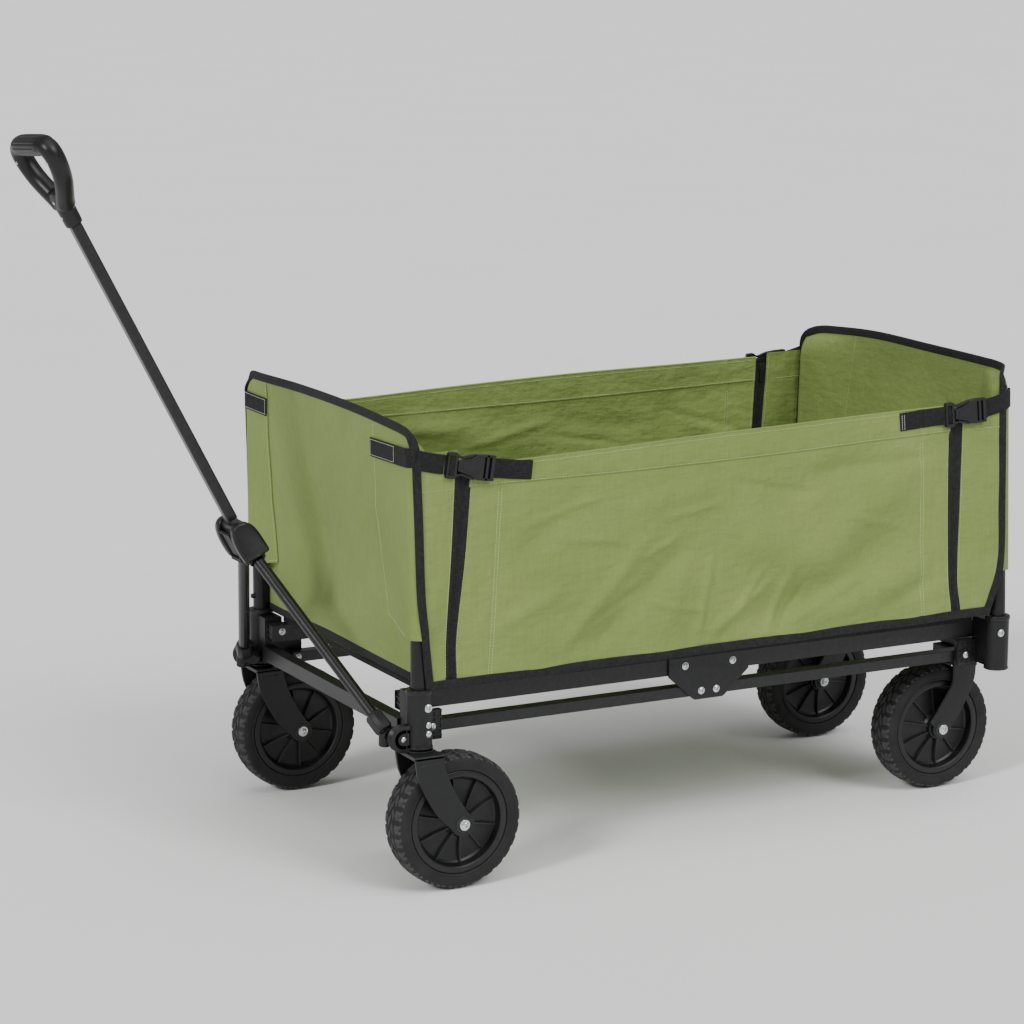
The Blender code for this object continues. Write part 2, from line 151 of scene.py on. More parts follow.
TUB_BOTTOM = ((0.0, 0.2668), (0.907, 0.274))

SAGE = (0.184, 0.25, 0.066)
SAGE_LIGHT = (0.222, 0.292, 0.084)
THREAD = (0.5, 0.58, 0.27)
WHITE_THREAD = (0.55, 0.55, 0.5)
BLACK_CLOTH = (0.01, 0.01, 0.0108)


# ---------------------------------------------------------------- small tools
def follow(points, t):
    """Value at t on a smooth line through (t, value) points."""
    t = min(max(t, points[0][0]), points[-1][0])
    index = 0
    while index < len(points) - 2 and t > points[index + 1][0]:
        index += 1
    (a, va), (b, vb) = points[index], points[index + 1]
    before, after = points[max(index - 1, 0)], points[min(index + 2, len(points) - 1)]
    slope_a = (vb - before[1]) / (b - before[0])
    slope_b = (after[1] - va) / (after[0] - a)
    h = b - a
    k = (t - a) / h
    return (va * (1 + 2 * k) * (1 - k) ** 2 + slope_a * h * k * (1 - k) ** 2
            + vb * k * k * (3 - 2 * k) + slope_b * h * k * k * (k - 1))


def mix(a, b, t):
    return a + (b - a) * t


def steps(a, b, count):
    """Evenly spaced values from a to b, both included."""
    return [mix(a, b, k / count) for k in range(count + 1)]


def turns(count, offset=0.0):
    """Angles evenly spaced round a circle."""
    return [2 * math.pi * (k + offset) / count for k in range(count)]


def smooth_step(low, high, value):
    """0 below low, 1 above high, and an even turn between them."""
    t = min(max((value - low) / (high - low), 0.0), 1.0)
    return t * t * (3 - 2 * t)


def at(end, d, y, z):
    """A point at distance d from an end's corner posts."""
    return Vector((END_X[end] + INWARD[end] * d, y, z))


def pulled_in(point):
    """Where a point of the tub goes when the rear corners lean together."""
    rise = max(point.z - PULL_FROM, 0.0) / 0.33
    share = min(abs(point.y) / POST_Y, 1.05) * smooth_step(MID_X - 0.12, END_X["rear"] - 0.02, point.x)
    return Vector((point.x, point.y - math.copysign(PULL_IN * rise * share, point.y), point.z))


def add_piece(name, bm, material, body, slot, smooth=38.0, soft=False):
    """Make a shown piece from a bmesh and let it ride on a CAD body."""
    if soft or slot == "cloth":
        for vertex in bm.verts:
            vertex.co = pulled_in(vertex.co)
    bmesh.ops.recalc_face_normals(bm, faces=bm.faces)
    mesh = bpy.data.meshes.new(name)
    bm.to_mesh(mesh)
    bm.free()
    mesh.materials.append(material)
    mesh.shade_smooth()
    mesh.set_sharp_from_angle(angle=math.radians(smooth))
    obj = bpy.data.objects.new(name, mesh)
    bpy.context.scene.collection.objects.link(obj)
    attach(obj, body)
    return obj


def bevel(obj, width, segments=2, angle=35.0):
    """Round the sharp edges of a piece."""
    modifier = obj.modifiers.new("edge", "BEVEL")
    modifier.width = width
    modifier.segments = segments
    modifier.limit_method = "ANGLE"
    modifier.angle_limit = math.radians(angle)
    modifier.harden_normals = True
    return obj


def skin(bm, rings):
    """Join rings of vertices into a tube and close its two ends."""
    count = len(rings[0])
    for here, after in zip(rings, rings[1:]):
        for k in range(count):
            j = (k + 1) % count
            bm.faces.new((here[k], here[j], after[j], after[k]))
    bm.faces.new(list(reversed(rings[0])))
    bm.faces.new(rings[-1])


def lathe(bm, profile, origin, axis, segments=40, closed=False):
    """Spin (radius, height) points about an axis; a radius of 0 closes the end."""
    axis, origin = Vector(axis).normalized(), Vector(origin)
    across = axis.orthogonal().normalized()
    other = axis.cross(across)
    rings = []
    for radius, height in profile:
        base = origin + axis * height
        if radius < 1e-7:
            rings.append([bm.verts.new(base)])
            continue
        rings.append([bm.verts.new(base + (across * math.cos(a) + other * math.sin(a)) * radius)
                      for a in turns(segments)])
    following = rings[1:] + ([rings[0]] if closed else [])
    for here, after in zip(rings, following):
        for k in range(segments):
            j = (k + 1) % segments
            corners = (here[k % len(here)], here[j % len(here)], after[j % len(after)],
                       after[k % len(after)])
            corners = list(dict.fromkeys(corners))
            if len(corners) >= 3:
                bm.faces.new(corners)


def upright(u, v, w):
    """Place an outline along the wagon: u is x, v is z, and w is across."""
    return Vector((u, w, v))


def crosswise(u, v, w):
    """Place an outline across the wagon: u is y, v is z, and w is along."""
    return Vector((w, u, v))


def prism(bm, outline, place, low, high):
    """Extrude a flat outline; place(u, v, w) gives a point, with w from low to high."""
    skin(bm, [[bm.verts.new(place(u, v, w)) for u, v in outline] for w in (low, high)])


def block(bm, place, u, v, w):
    """Rectangular block between three pairs of bounds."""
    prism(bm, [(u[0], v[0]), (u[1], v[0]), (u[1], v[1]), (u[0], v[1])], place, *w)


def mirrored(half):
    """Outline that is the same on both sides of u = 0, from its right half."""
    return list(half) + [(-u, v) for u, v in reversed(half)]


def flat_section(width, thickness, rounds=4):
    """Section of a strap: flat faces and round edges."""
    half = (width - thickness) / 2
    points = []
    for centre, start in ((half, -90), (-half, 90)):
        for k in range(rounds + 1):
            a = math.radians(start + 180 * k / rounds)
            points.append((centre + thickness / 2 * math.cos(a), thickness / 2 * math.sin(a)))
    return points


def for_each(points, outs):
    """Outward directions, one for each point, from such a list or from a single direction."""
    return [outs] * len(points) if isinstance(outs, Vector) else outs


def sweep(bm, points, outs, section, taper=None):
    """Carry a section (across, out) along a line."""
    count = len(points)
    rings = []
    for i, (point, out) in enumerate(zip(points, for_each(points, outs))):
        along = (points[min(i + 1, count - 1)] - points[max(i - 1, 0)]).normalized()
        across = along.cross(out).normalized()
        out = across.cross(along)
        scale = taper(i / (count - 1)) if taper else 1.0
        rings.append([bm.verts.new(point + across * (a * scale) + out * (b * scale)) for a, b in section])
    skin(bm, rings)


def sheet_shell(bm, rows, thickness):
    """Closed shell of a cloth whose middle surface is a grid of points."""
    high, wide = len(rows), len(rows[0])
    layers = ([], [])
    for i in range(high):
        for layer in layers:
            layer.append([])
        for j in range(wide):
            down = rows[min(i + 1, high - 1)][j] - rows[max(i - 1, 0)][j]
            along = rows[i][min(j + 1, wide - 1)] - rows[i][max(j - 1, 0)]
            normal = down.cross(along).normalized()
            layers[0][i].append(bm.verts.new(rows[i][j] + normal * thickness / 2))
            layers[1][i].append(bm.verts.new(rows[i][j] - normal * thickness / 2))
    for layer in layers:
        for i in range(high - 1):
            for j in range(wide - 1):
                bm.faces.new((layer[i][j], layer[i + 1][j], layer[i + 1][j + 1], layer[i][j + 1]))
    rim = ([(i, 0) for i in range(high)] + [(high - 1, j) for j in range(1, wide)]
           + [(i, wide - 1) for i in range(high - 2, -1, -1)] + [(0, j) for j in range(wide - 2, 0, -1)])
    for (i, j), (k, m) in zip(rim, rim[1:] + rim[:1]):
        bm.faces.new((layers[0][i][j], layers[0][k][m], layers[1][k][m], layers[1][i][j]))


def walk(points, pitch):
    """Points, directions and shares of the way at an even pitch along a line."""
    found = []
    travelled = 0.0
    wanted = pitch / 2
    total = sum((b - a).length for a, b in zip(points, points[1:]))
    for a, b in zip(points, points[1:]):
        step = (b - a).length
        while step > 0 and wanted <= travelled + step:
            t = (wanted - travelled) / step
            found.append((a.lerp(b, t), (b - a) / step, wanted / total))
            wanted += pitch
        travelled += step
    return found


def stitch(bm, points, outs, pitch=STITCH_PITCH, length=STITCH_LENGTH):
    """A row of single stitches, each a small flattened dash of thread."""
    dash = ((-0.5, 0.4), (-0.3, 1.0), (0.3, 1.0), (0.5, 0.4))
    outs = for_each(points, outs)
    for place, along, share in walk(points, pitch):
        out = outs[min(int(share * (len(outs) - 1) + 0.5), len(outs) - 1)]
        across = along.cross(out).normalized()
        rings = []
        for t, width in dash:
            r = STITCH_R * width
            corners = (across * -r, out * r, across * r, out * -r)
            rings.append([bm.verts.new(place + along * (t * length) + corner) for corner in corners])
        skin(bm, rings)


# ---------------------------------------------------------------- materials
class Finish:
    """A Principled material filled in node by node."""

    def __init__(self, name, **sockets):
        self.material = bpy.data.materials.new(name)
        self.material.use_nodes = True
        self.tree = self.material.node_tree
        self.shader = self.tree.nodes["Principled BSDF"]
        for key, value in sockets.items():
            self.shader.inputs[key.replace("_", " ")].default_value = value
        self.place = self.node("TexCoord").outputs["Object"]

    def node(self, kind, **values):
        made = self.tree.nodes.new(f"ShaderNode{kind}")
        for key, value in values.items():
            setattr(made, key, value)
        return made

    def link(self, source, target):
        self.tree.links.new(source, target)

    def noise(self, scale, detail=3.0, stretch=None):
        made = self.node("TexNoise")
        made.inputs["Scale"].default_value = scale
        made.inputs["Detail"].default_value = detail
        where = self.place
        if stretch:
            mapping = self.node("Mapping")
            mapping.inputs["Scale"].default_value = stretch
            self.link(self.place, mapping.inputs["Vector"])
            where = mapping.outputs["Vector"]
        self.link(where, made.inputs["Vector"])
        return made.outputs["Fac"]

    def ramp(self, source, *stops):
        """Map a value to colours; stops are (position, colour)."""
        made = self.node("ValToRGB")
        elements = made.color_ramp.elements
        while len(elements) < len(stops):
            elements.new(0.5)
        for element, (position, colour) in zip(elements, stops):
            element.position = position
            element.color = (*colour, 1.0)
        self.link(source, made.inputs["Fac"])
        return made.outputs["Color"]

    def blend(self, a, b, factor, kind="MIX"):
        made = self.node("MixRGB", blend_type=kind)
        for source, socket in ((a, "Color1"), (b, "Color2"), (factor, "Fac")):
            if isinstance(source, (tuple, float)):
                value = (*source, 1.0) if isinstance(source, tuple) else source
                made.inputs[socket].default_value = value
            else:
                self.link(source, made.inputs[socket])
        return made.outputs["Color"]

    def sum(self, a, b, weight_b):
        made = self.node("Math", operation="MULTIPLY_ADD")
        made.inputs[1].default_value = weight_b
        self.link(b, made.inputs[0])
        self.link(a, made.inputs[2])
        return made.outputs["Value"]

    def wave(self, direction, pitch):
        """Even ridges across one axis, a pitch apart."""
        made = self.node("TexWave", wave_type="BANDS", bands_direction=direction)
        made.inputs["Scale"].default_value = 1.0 / (pitch * 20.0) * 2 * math.pi
        self.link(self.place, made.inputs["Vector"])
        return made.outputs["Fac"]

    def colour(self, source):
        self.link(source, self.shader.inputs["Base Color"])

    def roughness(self, source, low, high):
        made = self.node("MapRange")
        made.inputs["To Min"].default_value = low
        made.inputs["To Max"].default_value = high
        self.link(source, made.inputs["Value"])
        self.link(made.outputs["Result"], self.shader.inputs["Roughness"])

    def bump(self, height, distance, strength=1.0, under=None):
        """Raise the surface by a height, on top of another bump if one is given."""
        made = self.node("Bump")
        made.inputs["Distance"].default_value = distance
        made.inputs["Strength"].default_value = strength
        self.link(height, made.inputs["Height"])
        if under:
            self.link(under, made.inputs["Normal"])
        self.link(made.outputs["Normal"], self.shader.inputs["Normal"])
        return made.outputs["Normal"]

    def edges(self, low=0.515, high=0.6):
        """1 along outer edges, 0 elsewhere, broken up by noise."""
        wear_and_glint_edges = self.node("MapRange")
        wear_and_glint_edges.inputs["From Min"].default_value = low
        wear_and_glint_edges.inputs["From Max"].default_value = high
        self.link(self.node("NewGeometry").outputs["Pointiness"], wear_and_glint_edges.inputs["Value"])
        patchy = self.node("Math", operation="MULTIPLY")
        self.link(wear_and_glint_edges.outputs["Result"], patchy.inputs[0])
        self.link(self.noise(160.0, 4.0), patchy.inputs[1])
        return patchy.outputs["Value"]


def canvas_material():
    """Coated woven polyester: plain weave, slubs, handling creases, tone changes and a soft sheen."""
    made = Finish("canvas", Roughness=0.78, Sheen_Weight=0.03, Sheen_Roughness=0.5,
                  Specular_IOR_Level=0.3)
    weave = made.sum(made.wave("X", 0.0009), made.wave("Y", 0.0009), 1.0)
    weave = made.sum(weave, made.wave("Z", 0.0009), 1.0)
    weave = made.sum(weave, made.noise(900.0, 2.0), 1.2)
    broad = made.ramp(made.noise(7.0, 4.0), (0.3, SAGE), (0.72, SAGE_LIGHT))
    slubs = made.noise(420.0, 2.0, (1.0, 1.0, 0.06))
    fine = made.ramp(slubs, (0.35, (0.93, 0.93, 0.93)), (0.65, (1.04, 1.04, 1.04)))
    made.colour(made.blend(broad, fine, 0.7, "MULTIPLY"))
    made.roughness(slubs, 0.7, 0.86)
    crumple = made.sum(made.noise(24.0, 5.0), made.noise(70.0, 4.0, (0.6, 0.6, 1.6)), 0.35)
    rumpled = made.bump(crumple, 0.0075, 0.75)
    made.bump(weave, 0.00012, 0.45, rumpled)
    return made.material


def tape_material(name, colour, pitch):
    """Black woven tape: ribs, fuzz and a faint dusty bloom."""
    made = Finish(name, Roughness=0.82, Sheen_Weight=0.03, Sheen_Roughness=0.45, Specular_IOR_Level=0.22)
    ribs = made.sum(made.wave("X", pitch), made.wave("Y", pitch), 1.0)
    ribs = made.sum(ribs, made.wave("Z", pitch * 0.8), 0.7)
    ribs = made.sum(ribs, made.noise(700.0, 3.0), 1.0)
    light = tuple(c * 2.0 for c in colour)
    made.colour(made.ramp(made.noise(240.0, 4.0), (0.35, colour), (0.72, light)))
    made.roughness(made.noise(90.0), 0.7, 0.92)
    made.bump(ribs, 0.00025, 0.8)
    return made.material


def thread_material(name, colour):
    made = Finish(name, Roughness=0.6, Sheen_Weight=0.2)
    dark = tuple(c * 0.72 for c in colour)
    made.colour(made.ramp(made.noise(500.0), (0.3, dark), (0.7, colour)))
    made.bump(made.wave("Z", 0.0004), 0.0001, 0.5)
    return made.material


def steel_material(name="powder_steel", colour=(0.0042, 0.0043, 0.0047), low=0.36, high=0.44):
    """Black powder coat: fine orange peel, faint dust, and edges rubbed a little brighter."""
    made = Finish(name, Metallic=0.0, Specular_IOR_Level=0.36)
    lighter = tuple(c * 1.4 for c in colour)
    base = made.ramp(made.noise(26.0, 5.0), (0.3, colour), (0.8, lighter))
    made.colour(made.blend(base, (0.045, 0.046, 0.048), made.edges()))
    made.roughness(made.noise(60.0, 4.0), low, high)
    made.bump(made.noise(1300.0, 2.0), 0.0001, 0.35)
    return made.material


def plastic_material(name="moulded_plastic", colour=(0.0048, 0.0048, 0.0052), low=0.42, high=0.52):
    """Moulded nylon with a fine spark-eroded grain."""
    made = Finish(name, Specular_IOR_Level=0.34)
    lighter = tuple(c * 1.5 for c in colour)
    base = made.ramp(made.noise(34.0, 4.0), (0.3, colour), (0.75, lighter))
    made.colour(made.blend(base, (0.04, 0.041, 0.044), made.edges(0.52, 0.64)))
    made.roughness(made.noise(80.0, 3.0), low, high)
    made.bump(made.noise(1700.0, 2.0), 0.00012, 0.5)
    return made.material


def rubber_material():
    """Hard tyre compound: matt, with dust in the hollows, and lighter lug edges that are partly scuffs and
    partly a painted highlight for the glints along them.
    """
    made = Finish("tyre_rubber", Specular_IOR_Level=0.3)
    base = made.ramp(made.noise(45.0, 6.0), (0.3, (0.012, 0.012, 0.0124)), (0.78, (0.021, 0.021, 0.0216)))
    # lighter lug edges: partly scuffing, partly a painted highlight standing in for glints along the edges
    made.colour(made.blend(base, (0.085, 0.086, 0.088), made.edges(0.53, 0.66)))
    made.roughness(made.noise(120.0, 4.0), 0.62, 0.84)
    made.bump(made.noise(600.0, 4.0), 0.00025, 0.6)
    return made.material


def zinc_material():
    made = Finish("zinc_plate", Metallic=1.0)
    made.colour(made.ramp(made.noise(300.0, 3.0), (0.3, (0.58, 0.6, 0.63)), (0.7, (0.82, 0.84, 0.86))))
    made.roughness(made.noise(200.0), 0.22, 0.38)
    made.bump(made.noise(900.0), 0.00008, 0.4)
    return made.material


def floor_material():
    made = Finish("studio_floor", Roughness=0.9)
    made.colour(made.ramp(made.noise(1.5), (0.3, (0.92, 0.92, 0.92)), (0.7, (0.94, 0.94, 0.94))))
    return made.material


CANVAS = canvas_material()
WEBBING = tape_material("webbing", BLACK_CLOTH, 0.0012)
BINDING = tape_material("binding_tape", (0.012, 0.012, 0.013), 0.001)
GREEN_THREAD = thread_material("green_thread", THREAD)
PALE_THREAD = thread_material("pale_thread", WHITE_THREAD)
STEEL = steel_material()
GLOSS_STEEL = steel_material("gloss_steel", (0.0046, 0.0047, 0.0052), 0.22, 0.3)
PLASTIC = plastic_material()
SATIN_PLASTIC = plastic_material("satin_plastic", (0.0072, 0.0073, 0.0079), 0.3, 0.38)
GREY_PLASTIC = plastic_material("grey_plastic", (0.03, 0.0296, 0.0285), 0.5, 0.62)
RUBBER = rubber_material()
ZINC = zinc_material()


# ---------------------------------------------------------------- camera, light and floor
def build_camera():
    """Camera set by distance, azimuth, elevation and roll about its target."""
    a, e, r = (math.radians(v) for v in (CAMERA_AZIMUTH, CAMERA_ELEVATION, CAMERA_ROLL))
    back = Vector((math.sin(a) * math.cos(e), -math.cos(a) * math.cos(e), math.sin(e)))
    level = Vector((math.cos(a), math.sin(a), 0.0))
    steep = back.cross(level)
    right = level * math.cos(r) + steep * math.sin(r)
    up = steep * math.cos(r) - level * math.sin(r)
    camera = bpy.data.objects.new("camera", bpy.data.cameras.new("camera"))
    camera.data.lens = CAMERA_LENS
    camera.data.sensor_width = 36.0
    camera.matrix_world = (Matrix.Translation(Vector(CAMERA_TARGET) + back * CAMERA_DISTANCE)
                           @ Matrix((right, up, back)).transposed().to_4x4())
    bpy.context.scene.collection.objects.link(camera)
    bpy.context.scene.camera = camera


def build_sun(name, origin, strength, spread):
    """Wide soft light from far away, shining from the given direction."""
    light = bpy.data.lights.new(name, "SUN")
    light.energy = strength
    light.angle = math.radians(spread)
    obj = bpy.data.objects.new(name, light)
    obj.rotation_euler = Vector(origin).to_track_quat("Z", "Y").to_euler()
    bpy.context.scene.collection.objects.link(obj)


def build_studio():
    """Three soft suns, a pale surrounding and a plain floor."""
    build_sun("key", (-2.8, -1.2, 1.9), 1.7, 12)
    build_sun("side_fill", (0.9, -3.0, 2.5), 1.3, 26)
    build_sun("top", (0.2, -0.9, 3.0), 1.1, 60)
    world = bpy.data.worlds.new("studio")
    world.use_nodes = True
    background = world.node_tree.nodes["Background"]
    background.inputs["Color"].default_value = (1.0, 1.0, 1.0, 1.0)
    background.inputs["Strength"].default_value = 0.34
    bpy.context.scene.world = world
    bm = bmesh.new()
    bmesh.ops.create_grid(bm, x_segments=8, y_segments=8, size=90.0)
    mesh = bpy.data.meshes.new("studio_floor")
    bm.to_mesh(mesh)
    bm.free()
    mesh.materials.append(floor_material())
    floor = bpy.data.objects.new("studio_floor", mesh)
    floor.location.z = -0.0006
    bpy.context.scene.collection.objects.link(floor)


# ---------------------------------------------------------------- bolts, gathered per body
bolts = {}


def bolt(body, place, axis, radius=0.0046, height=0.0026, sides=24):
    """Note a bolt head to be made later with the others on its body."""
    bolts.setdefault(body, []).append((Vector(place), Vector(axis), radius, height, sides))


def build_bolts():
    """Zinc pan heads, or nuts where there are six sides, on a washer, with a six-sided socket."""
    for body, heads in bolts.items():
        bm = bmesh.new()
        for place, axis, r, h, sides in heads:
            start = place - axis * 0.0006
            lathe(bm, ((0, 0), (r * 1.12, 0), (r * 1.12, h * 0.34), (r * 0.8, h * 0.42)), start, axis, 24)
            lathe(bm, ((0, h * 0.2), (r * 0.94, h * 0.2), (r * 0.94, h * 0.74), (r * 0.84, h * 0.86),
                       (r * 0.62, h * 1.1), (r * 0.42, h * 1.18)), start, axis, sides)
            lathe(bm, ((r * 0.42, h * 1.18), (r * 0.34, h * 0.55), (0, h * 0.5)), start, axis, 6)
        add_piece(f"bolts_{body}", bm, ZINC, body, "zinc", 30)


# ---------------------------------------------------------------- wheels
LUGS = 30
# outlines of the raised blocks of one lug: (share of a pitch, distance from the tyre's middle)
TREAD_BLOCKS = (
    ((-0.36, 0.01), (0.02, 0.0088), (0.36, 0.012), (0.3, 0.0206), (0.02, 0.0198), (-0.34, 0.0208)),
    ((-0.42, 0.0008), (0.06, 0.0008), (0.5, 0.0062), (0.3, 0.008), (-0.02, 0.0074)),
)
SHOULDER_LUGS = (-0.26, 0.2)
SHOULDER_LUG = ((-0.13, 0.0196), (0.13, 0.0196), (0.09, 0.0214), (-0.16, 0.0214))
TREAD_H, SHOULDER_LUG_H = 0.0014, 0.0012
RIM_FINS, FIN_TURN, FIN_HALF = 10, 0.09, 0.0008


def on_wheel(centre, angle, w, r):
    """A point at an angle and radius round a wheel's axle, w out from its middle."""
    return Vector((centre.x + r * math.cos(angle), centre.y + w, centre.z + r * math.sin(angle)))


def tread_r(w):
    """Radius of the tyre's base surface across its width."""
    return 0.0884 - 0.003 * (abs(w) / 0.0212) ** 4


def lug(bm, centre, corners, height, shrink=0.86):
    """Raised block on the tread: corners are (angle, across), drawn in a little at the top."""
    mid_a = sum(a for a, _ in corners) / len(corners)
    mid_w = sum(w for _, w in corners) / len(corners)
    low = [bm.verts.new(on_wheel(centre, a, w, tread_r(w) - 0.0012)) for a, w in corners]
    high = []
    for a, w in corners:
        top_w = mix(mid_w, w, shrink)
        high.append(bm.verts.new(on_wheel(centre, mix(mid_a, a, shrink), top_w, tread_r(top_w) + height)))
    skin(bm, (low, high))


def build_tyre(node, body, centre):
    """Solid tyre: round walls with a raised ring, zigzag blocks and a notched shoulder."""
    bm = bmesh.new()
    half = [(0.069, 0.0196), (0.0696, 0.0212), (0.0706, 0.0219), (0.072, 0.0221), (0.0728, 0.0217),
            (0.074, 0.0222), (0.078, 0.0227), (0.0818, 0.0226), (0.0842, 0.022)]
    half += [(tread_r(w), w) for w in (0.0212, 0.019, 0.016, 0.011, 0.005)]
    loop = half + [(tread_r(0.0), 0.0)] + [(r, -w) for r, w in reversed(half)]
    lathe(bm, loop, centre, (0, 1, 0), 120, closed=True)
    pitch = 2 * math.pi / LUGS
    for k in range(LUGS):
        for side in (-1, 1):
            a = pitch * (k + 0.25 * (side + 1))
            for block_shape in TREAD_BLOCKS:
                lug(bm, centre, [(a + pitch * t, side * w) for t, w in block_shape], TREAD_H)
            for start in SHOULDER_LUGS:
                corners = [(a + pitch * (start + t), side * w) for t, w in SHOULDER_LUG]
                lug(bm, centre, corners, SHOULDER_LUG_H, 0.9)
    tyre = add_piece(f"{node}_tread", bm, RUBBER, body, "tyre", 30)
    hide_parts(node)


def build_rim(node, body, centre):
    """Dished wheel centre with thin radial fins on each face."""
    bm = bmesh.new()
    half = ((0.0052, 0.0246), (0.0145, 0.0246), (0.016, 0.0234), (0.0172, 0.0165), (0.02, 0.0132),
            (0.029, 0.0105), (0.04, 0.0084), (0.05, 0.0074), (0.0545, 0.0078), (0.0572, 0.0098),
            (0.0588, 0.014), (0.0597, 0.0196), (0.061, 0.0207), (0.0668, 0.0209), (0.0682, 0.0202))
    loop = list(half) + [(r, -w) for r, w in reversed(half)]
    lathe(bm, loop, centre, (0, 1, 0), 96, closed=True)
    outline = ((0.016, 0.007), (0.0585, 0.005), (0.0585, 0.0112), (0.054, 0.012),
               (0.03, 0.015), (0.02, 0.018), (0.016, 0.02))
    for side in (-1, 1):
        for a in turns(RIM_FINS, 0.5):
            radial = Vector((math.cos(a + FIN_TURN), 0, math.sin(a + FIN_TURN)))
            turn = Vector((-radial.z, 0, radial.x))

            def place(r, w, t):
                return centre + radial * r + turn * t + Vector((0, side * w, 0))

            prism(bm, outline, place, -FIN_HALF, FIN_HALF)
    rim = add_piece(f"{node}_centre", bm, SATIN_PLASTIC, body, "black_plastic", 30)
    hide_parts(node)


def build_wheels():
    for end in ENDS:
        for side in SIDES:
            body = f"{end}_wheel_{side}"
            centre = middle(f"{end}_{side}_tyre")
            build_tyre(f"{end}_{side}_tyre", body, centre)
            build_rim(f"{end}_{side}_rim", body, centre)


# ---------------------------------------------------------------- forks
# (z, d) lines down the two edges of a fork blade, from the crown to the foot
FORK_FRONT_EDGE = {
    "front": ((0.086, 0.03), (0.1, 0.015), (0.1184, 0.002), (0.1538, -0.0155), (CROWN_Z, -0.0205)),
    "rear": ((0.1012, 0.0595), (0.1267, 0.0415), (0.1544, 0.0251), (CROWN_Z, 0.0222)),
}
FORK_BACK_EDGE = {
    "front": ((0.104, 0.0558), (0.1249, 0.042), (0.1511, 0.0285), (0.17, 0.0222), (CROWN_Z, 0.0205)),
    "rear": ((0.087, 0.0262), (0.1, 0.017), (0.1161, 0.0048), (0.1577, -0.0149), (CROWN_Z, -0.0175)),
}
# radius of the round foot, and the degrees that its edge turns from and to
FORK_FOOT = {"front": (0.0165, 228, 400), "rear": (0.0145, 20, -135)}
FORK_PLATE, CROWN_H = 0.0046, 0.0055


def fork_outline(end, axle):
    """Outline of a pressed blade that sweeps from the crown to a round foot, as (x, z) points."""
    radius, first, last = FORK_FOOT[end]
    front, back = FORK_FRONT_EDGE[end], FORK_BACK_EDGE[end]
    points = [(follow(front, z), z) for z in steps(front[-1][0], front[0][0], 12)]
    d_foot = INWARD[end] * (axle.x - END_X[end])
    for turn in steps(first, last, 12):
        a = math.radians(turn)
        points.append((d_foot + radius * math.cos(a), axle.z + radius * math.sin(a)))
    points += [(follow(back, z), z) for z in steps(back[0][0], back[-1][0], 12)]
    return [(END_X[end] + INWARD[end] * d, z) for d, z in points]


def build_fork(end, side):
    """Two blades under a crown, with a stem plate at the front and a riser at the rear."""
    node, body = f"{end}_fork_{side}", f"caster_{side}" if end == "front" else "rear_frame"
    low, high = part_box(node)
    axle = middle(f"{end}_axle_{side}")
    y_mid, out = axle.y, (high.y - low.y) / 2
    crown = [END_X[end] + INWARD[end] * edges[end][-1][1] for edges in (FORK_FRONT_EDGE, FORK_BACK_EDGE)]
    bm = bmesh.new()
    outline = [(crown[1], CROWN_Z + 0.0045), (crown[0], CROWN_Z + 0.0045)] + fork_outline(end, axle)
    for s in (-1, 1):
        prism(bm, outline, upright, y_mid + s * (out - FORK_PLATE), y_mid + s * out)
    block(bm, upright, crown, (CROWN_Z, CROWN_Z + CROWN_H), (y_mid - out, y_mid + out))
    if end == "rear":
        inner = [mix(crown[0], crown[1], t) for t in (0.12, 0.88)]
        block(bm, upright, inner, (CROWN_Z, high.z), (y_mid - out * 0.9, y_mid + out * 0.9))
    else:
        lathe(bm, ((0, CROWN_Z), (0.017, CROWN_Z + 0.002), (0.017, CROWN_Z + 0.008),
                   (0.012, high.z - 0.0005), (0, high.z - 0.0005)), (END_X[end], y_mid, 0), (0, 0, 1), 32)
    fork = bevel(add_piece(f"{end}_fork_blades_{side}", bm, STEEL, body, "black_steel"), 0.0011, 3, 40)
    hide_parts(node)
    build_fork_trim(end, side, body, y_mid, out, axle)


def build_fork_trim(end, side, body, y_mid, out, axle):
    """Pressed bead under the crown, a rolled front edge and washers round the axle."""
    bm = bmesh.new()
    edge = FORK_FRONT_EDGE[end]
    for s in (-1, 1):
        y = y_mid + s * (out + 0.0001)
        if end == "front":
            line = [at(end, d, y, 0.1745 + 0.1 * (d + 0.012)) for d in (-0.013, -0.004, 0.005, 0.012)]
        else:
            heights = steps(edge[-1][0] - 0.004, edge[0][0], 24)
            line = [at(end, follow(edge, z) - 0.0026, y, z) for z in heights]
        sweep(bm, line, Vector((0, s, 0)), flat_section(0.0017, 0.0013))
        lathe(bm, ((0.0044, -0.0005), (0.0108, -0.0005), (0.0108, 0.0006), (0.0098, 0.001),
                   (0.0044, 0.001)),
              (axle.x, y, axle.z), (0, s, 0), 32, closed=True)
    add_piece(f"{end}_fork_trim_{side}", bm, STEEL, body, "black_steel")
    low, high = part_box(f"{end}_axle_{side}")
    for s, face in ((-1, low.y), (1, high.y)):
        bolt(body, (axle.x, face, axle.z), (0, s, 0), 0.006, 0.0034, 6)


def build_forks():
    for end in ENDS:
        for side in SIDES:
            build_fork(end, side)


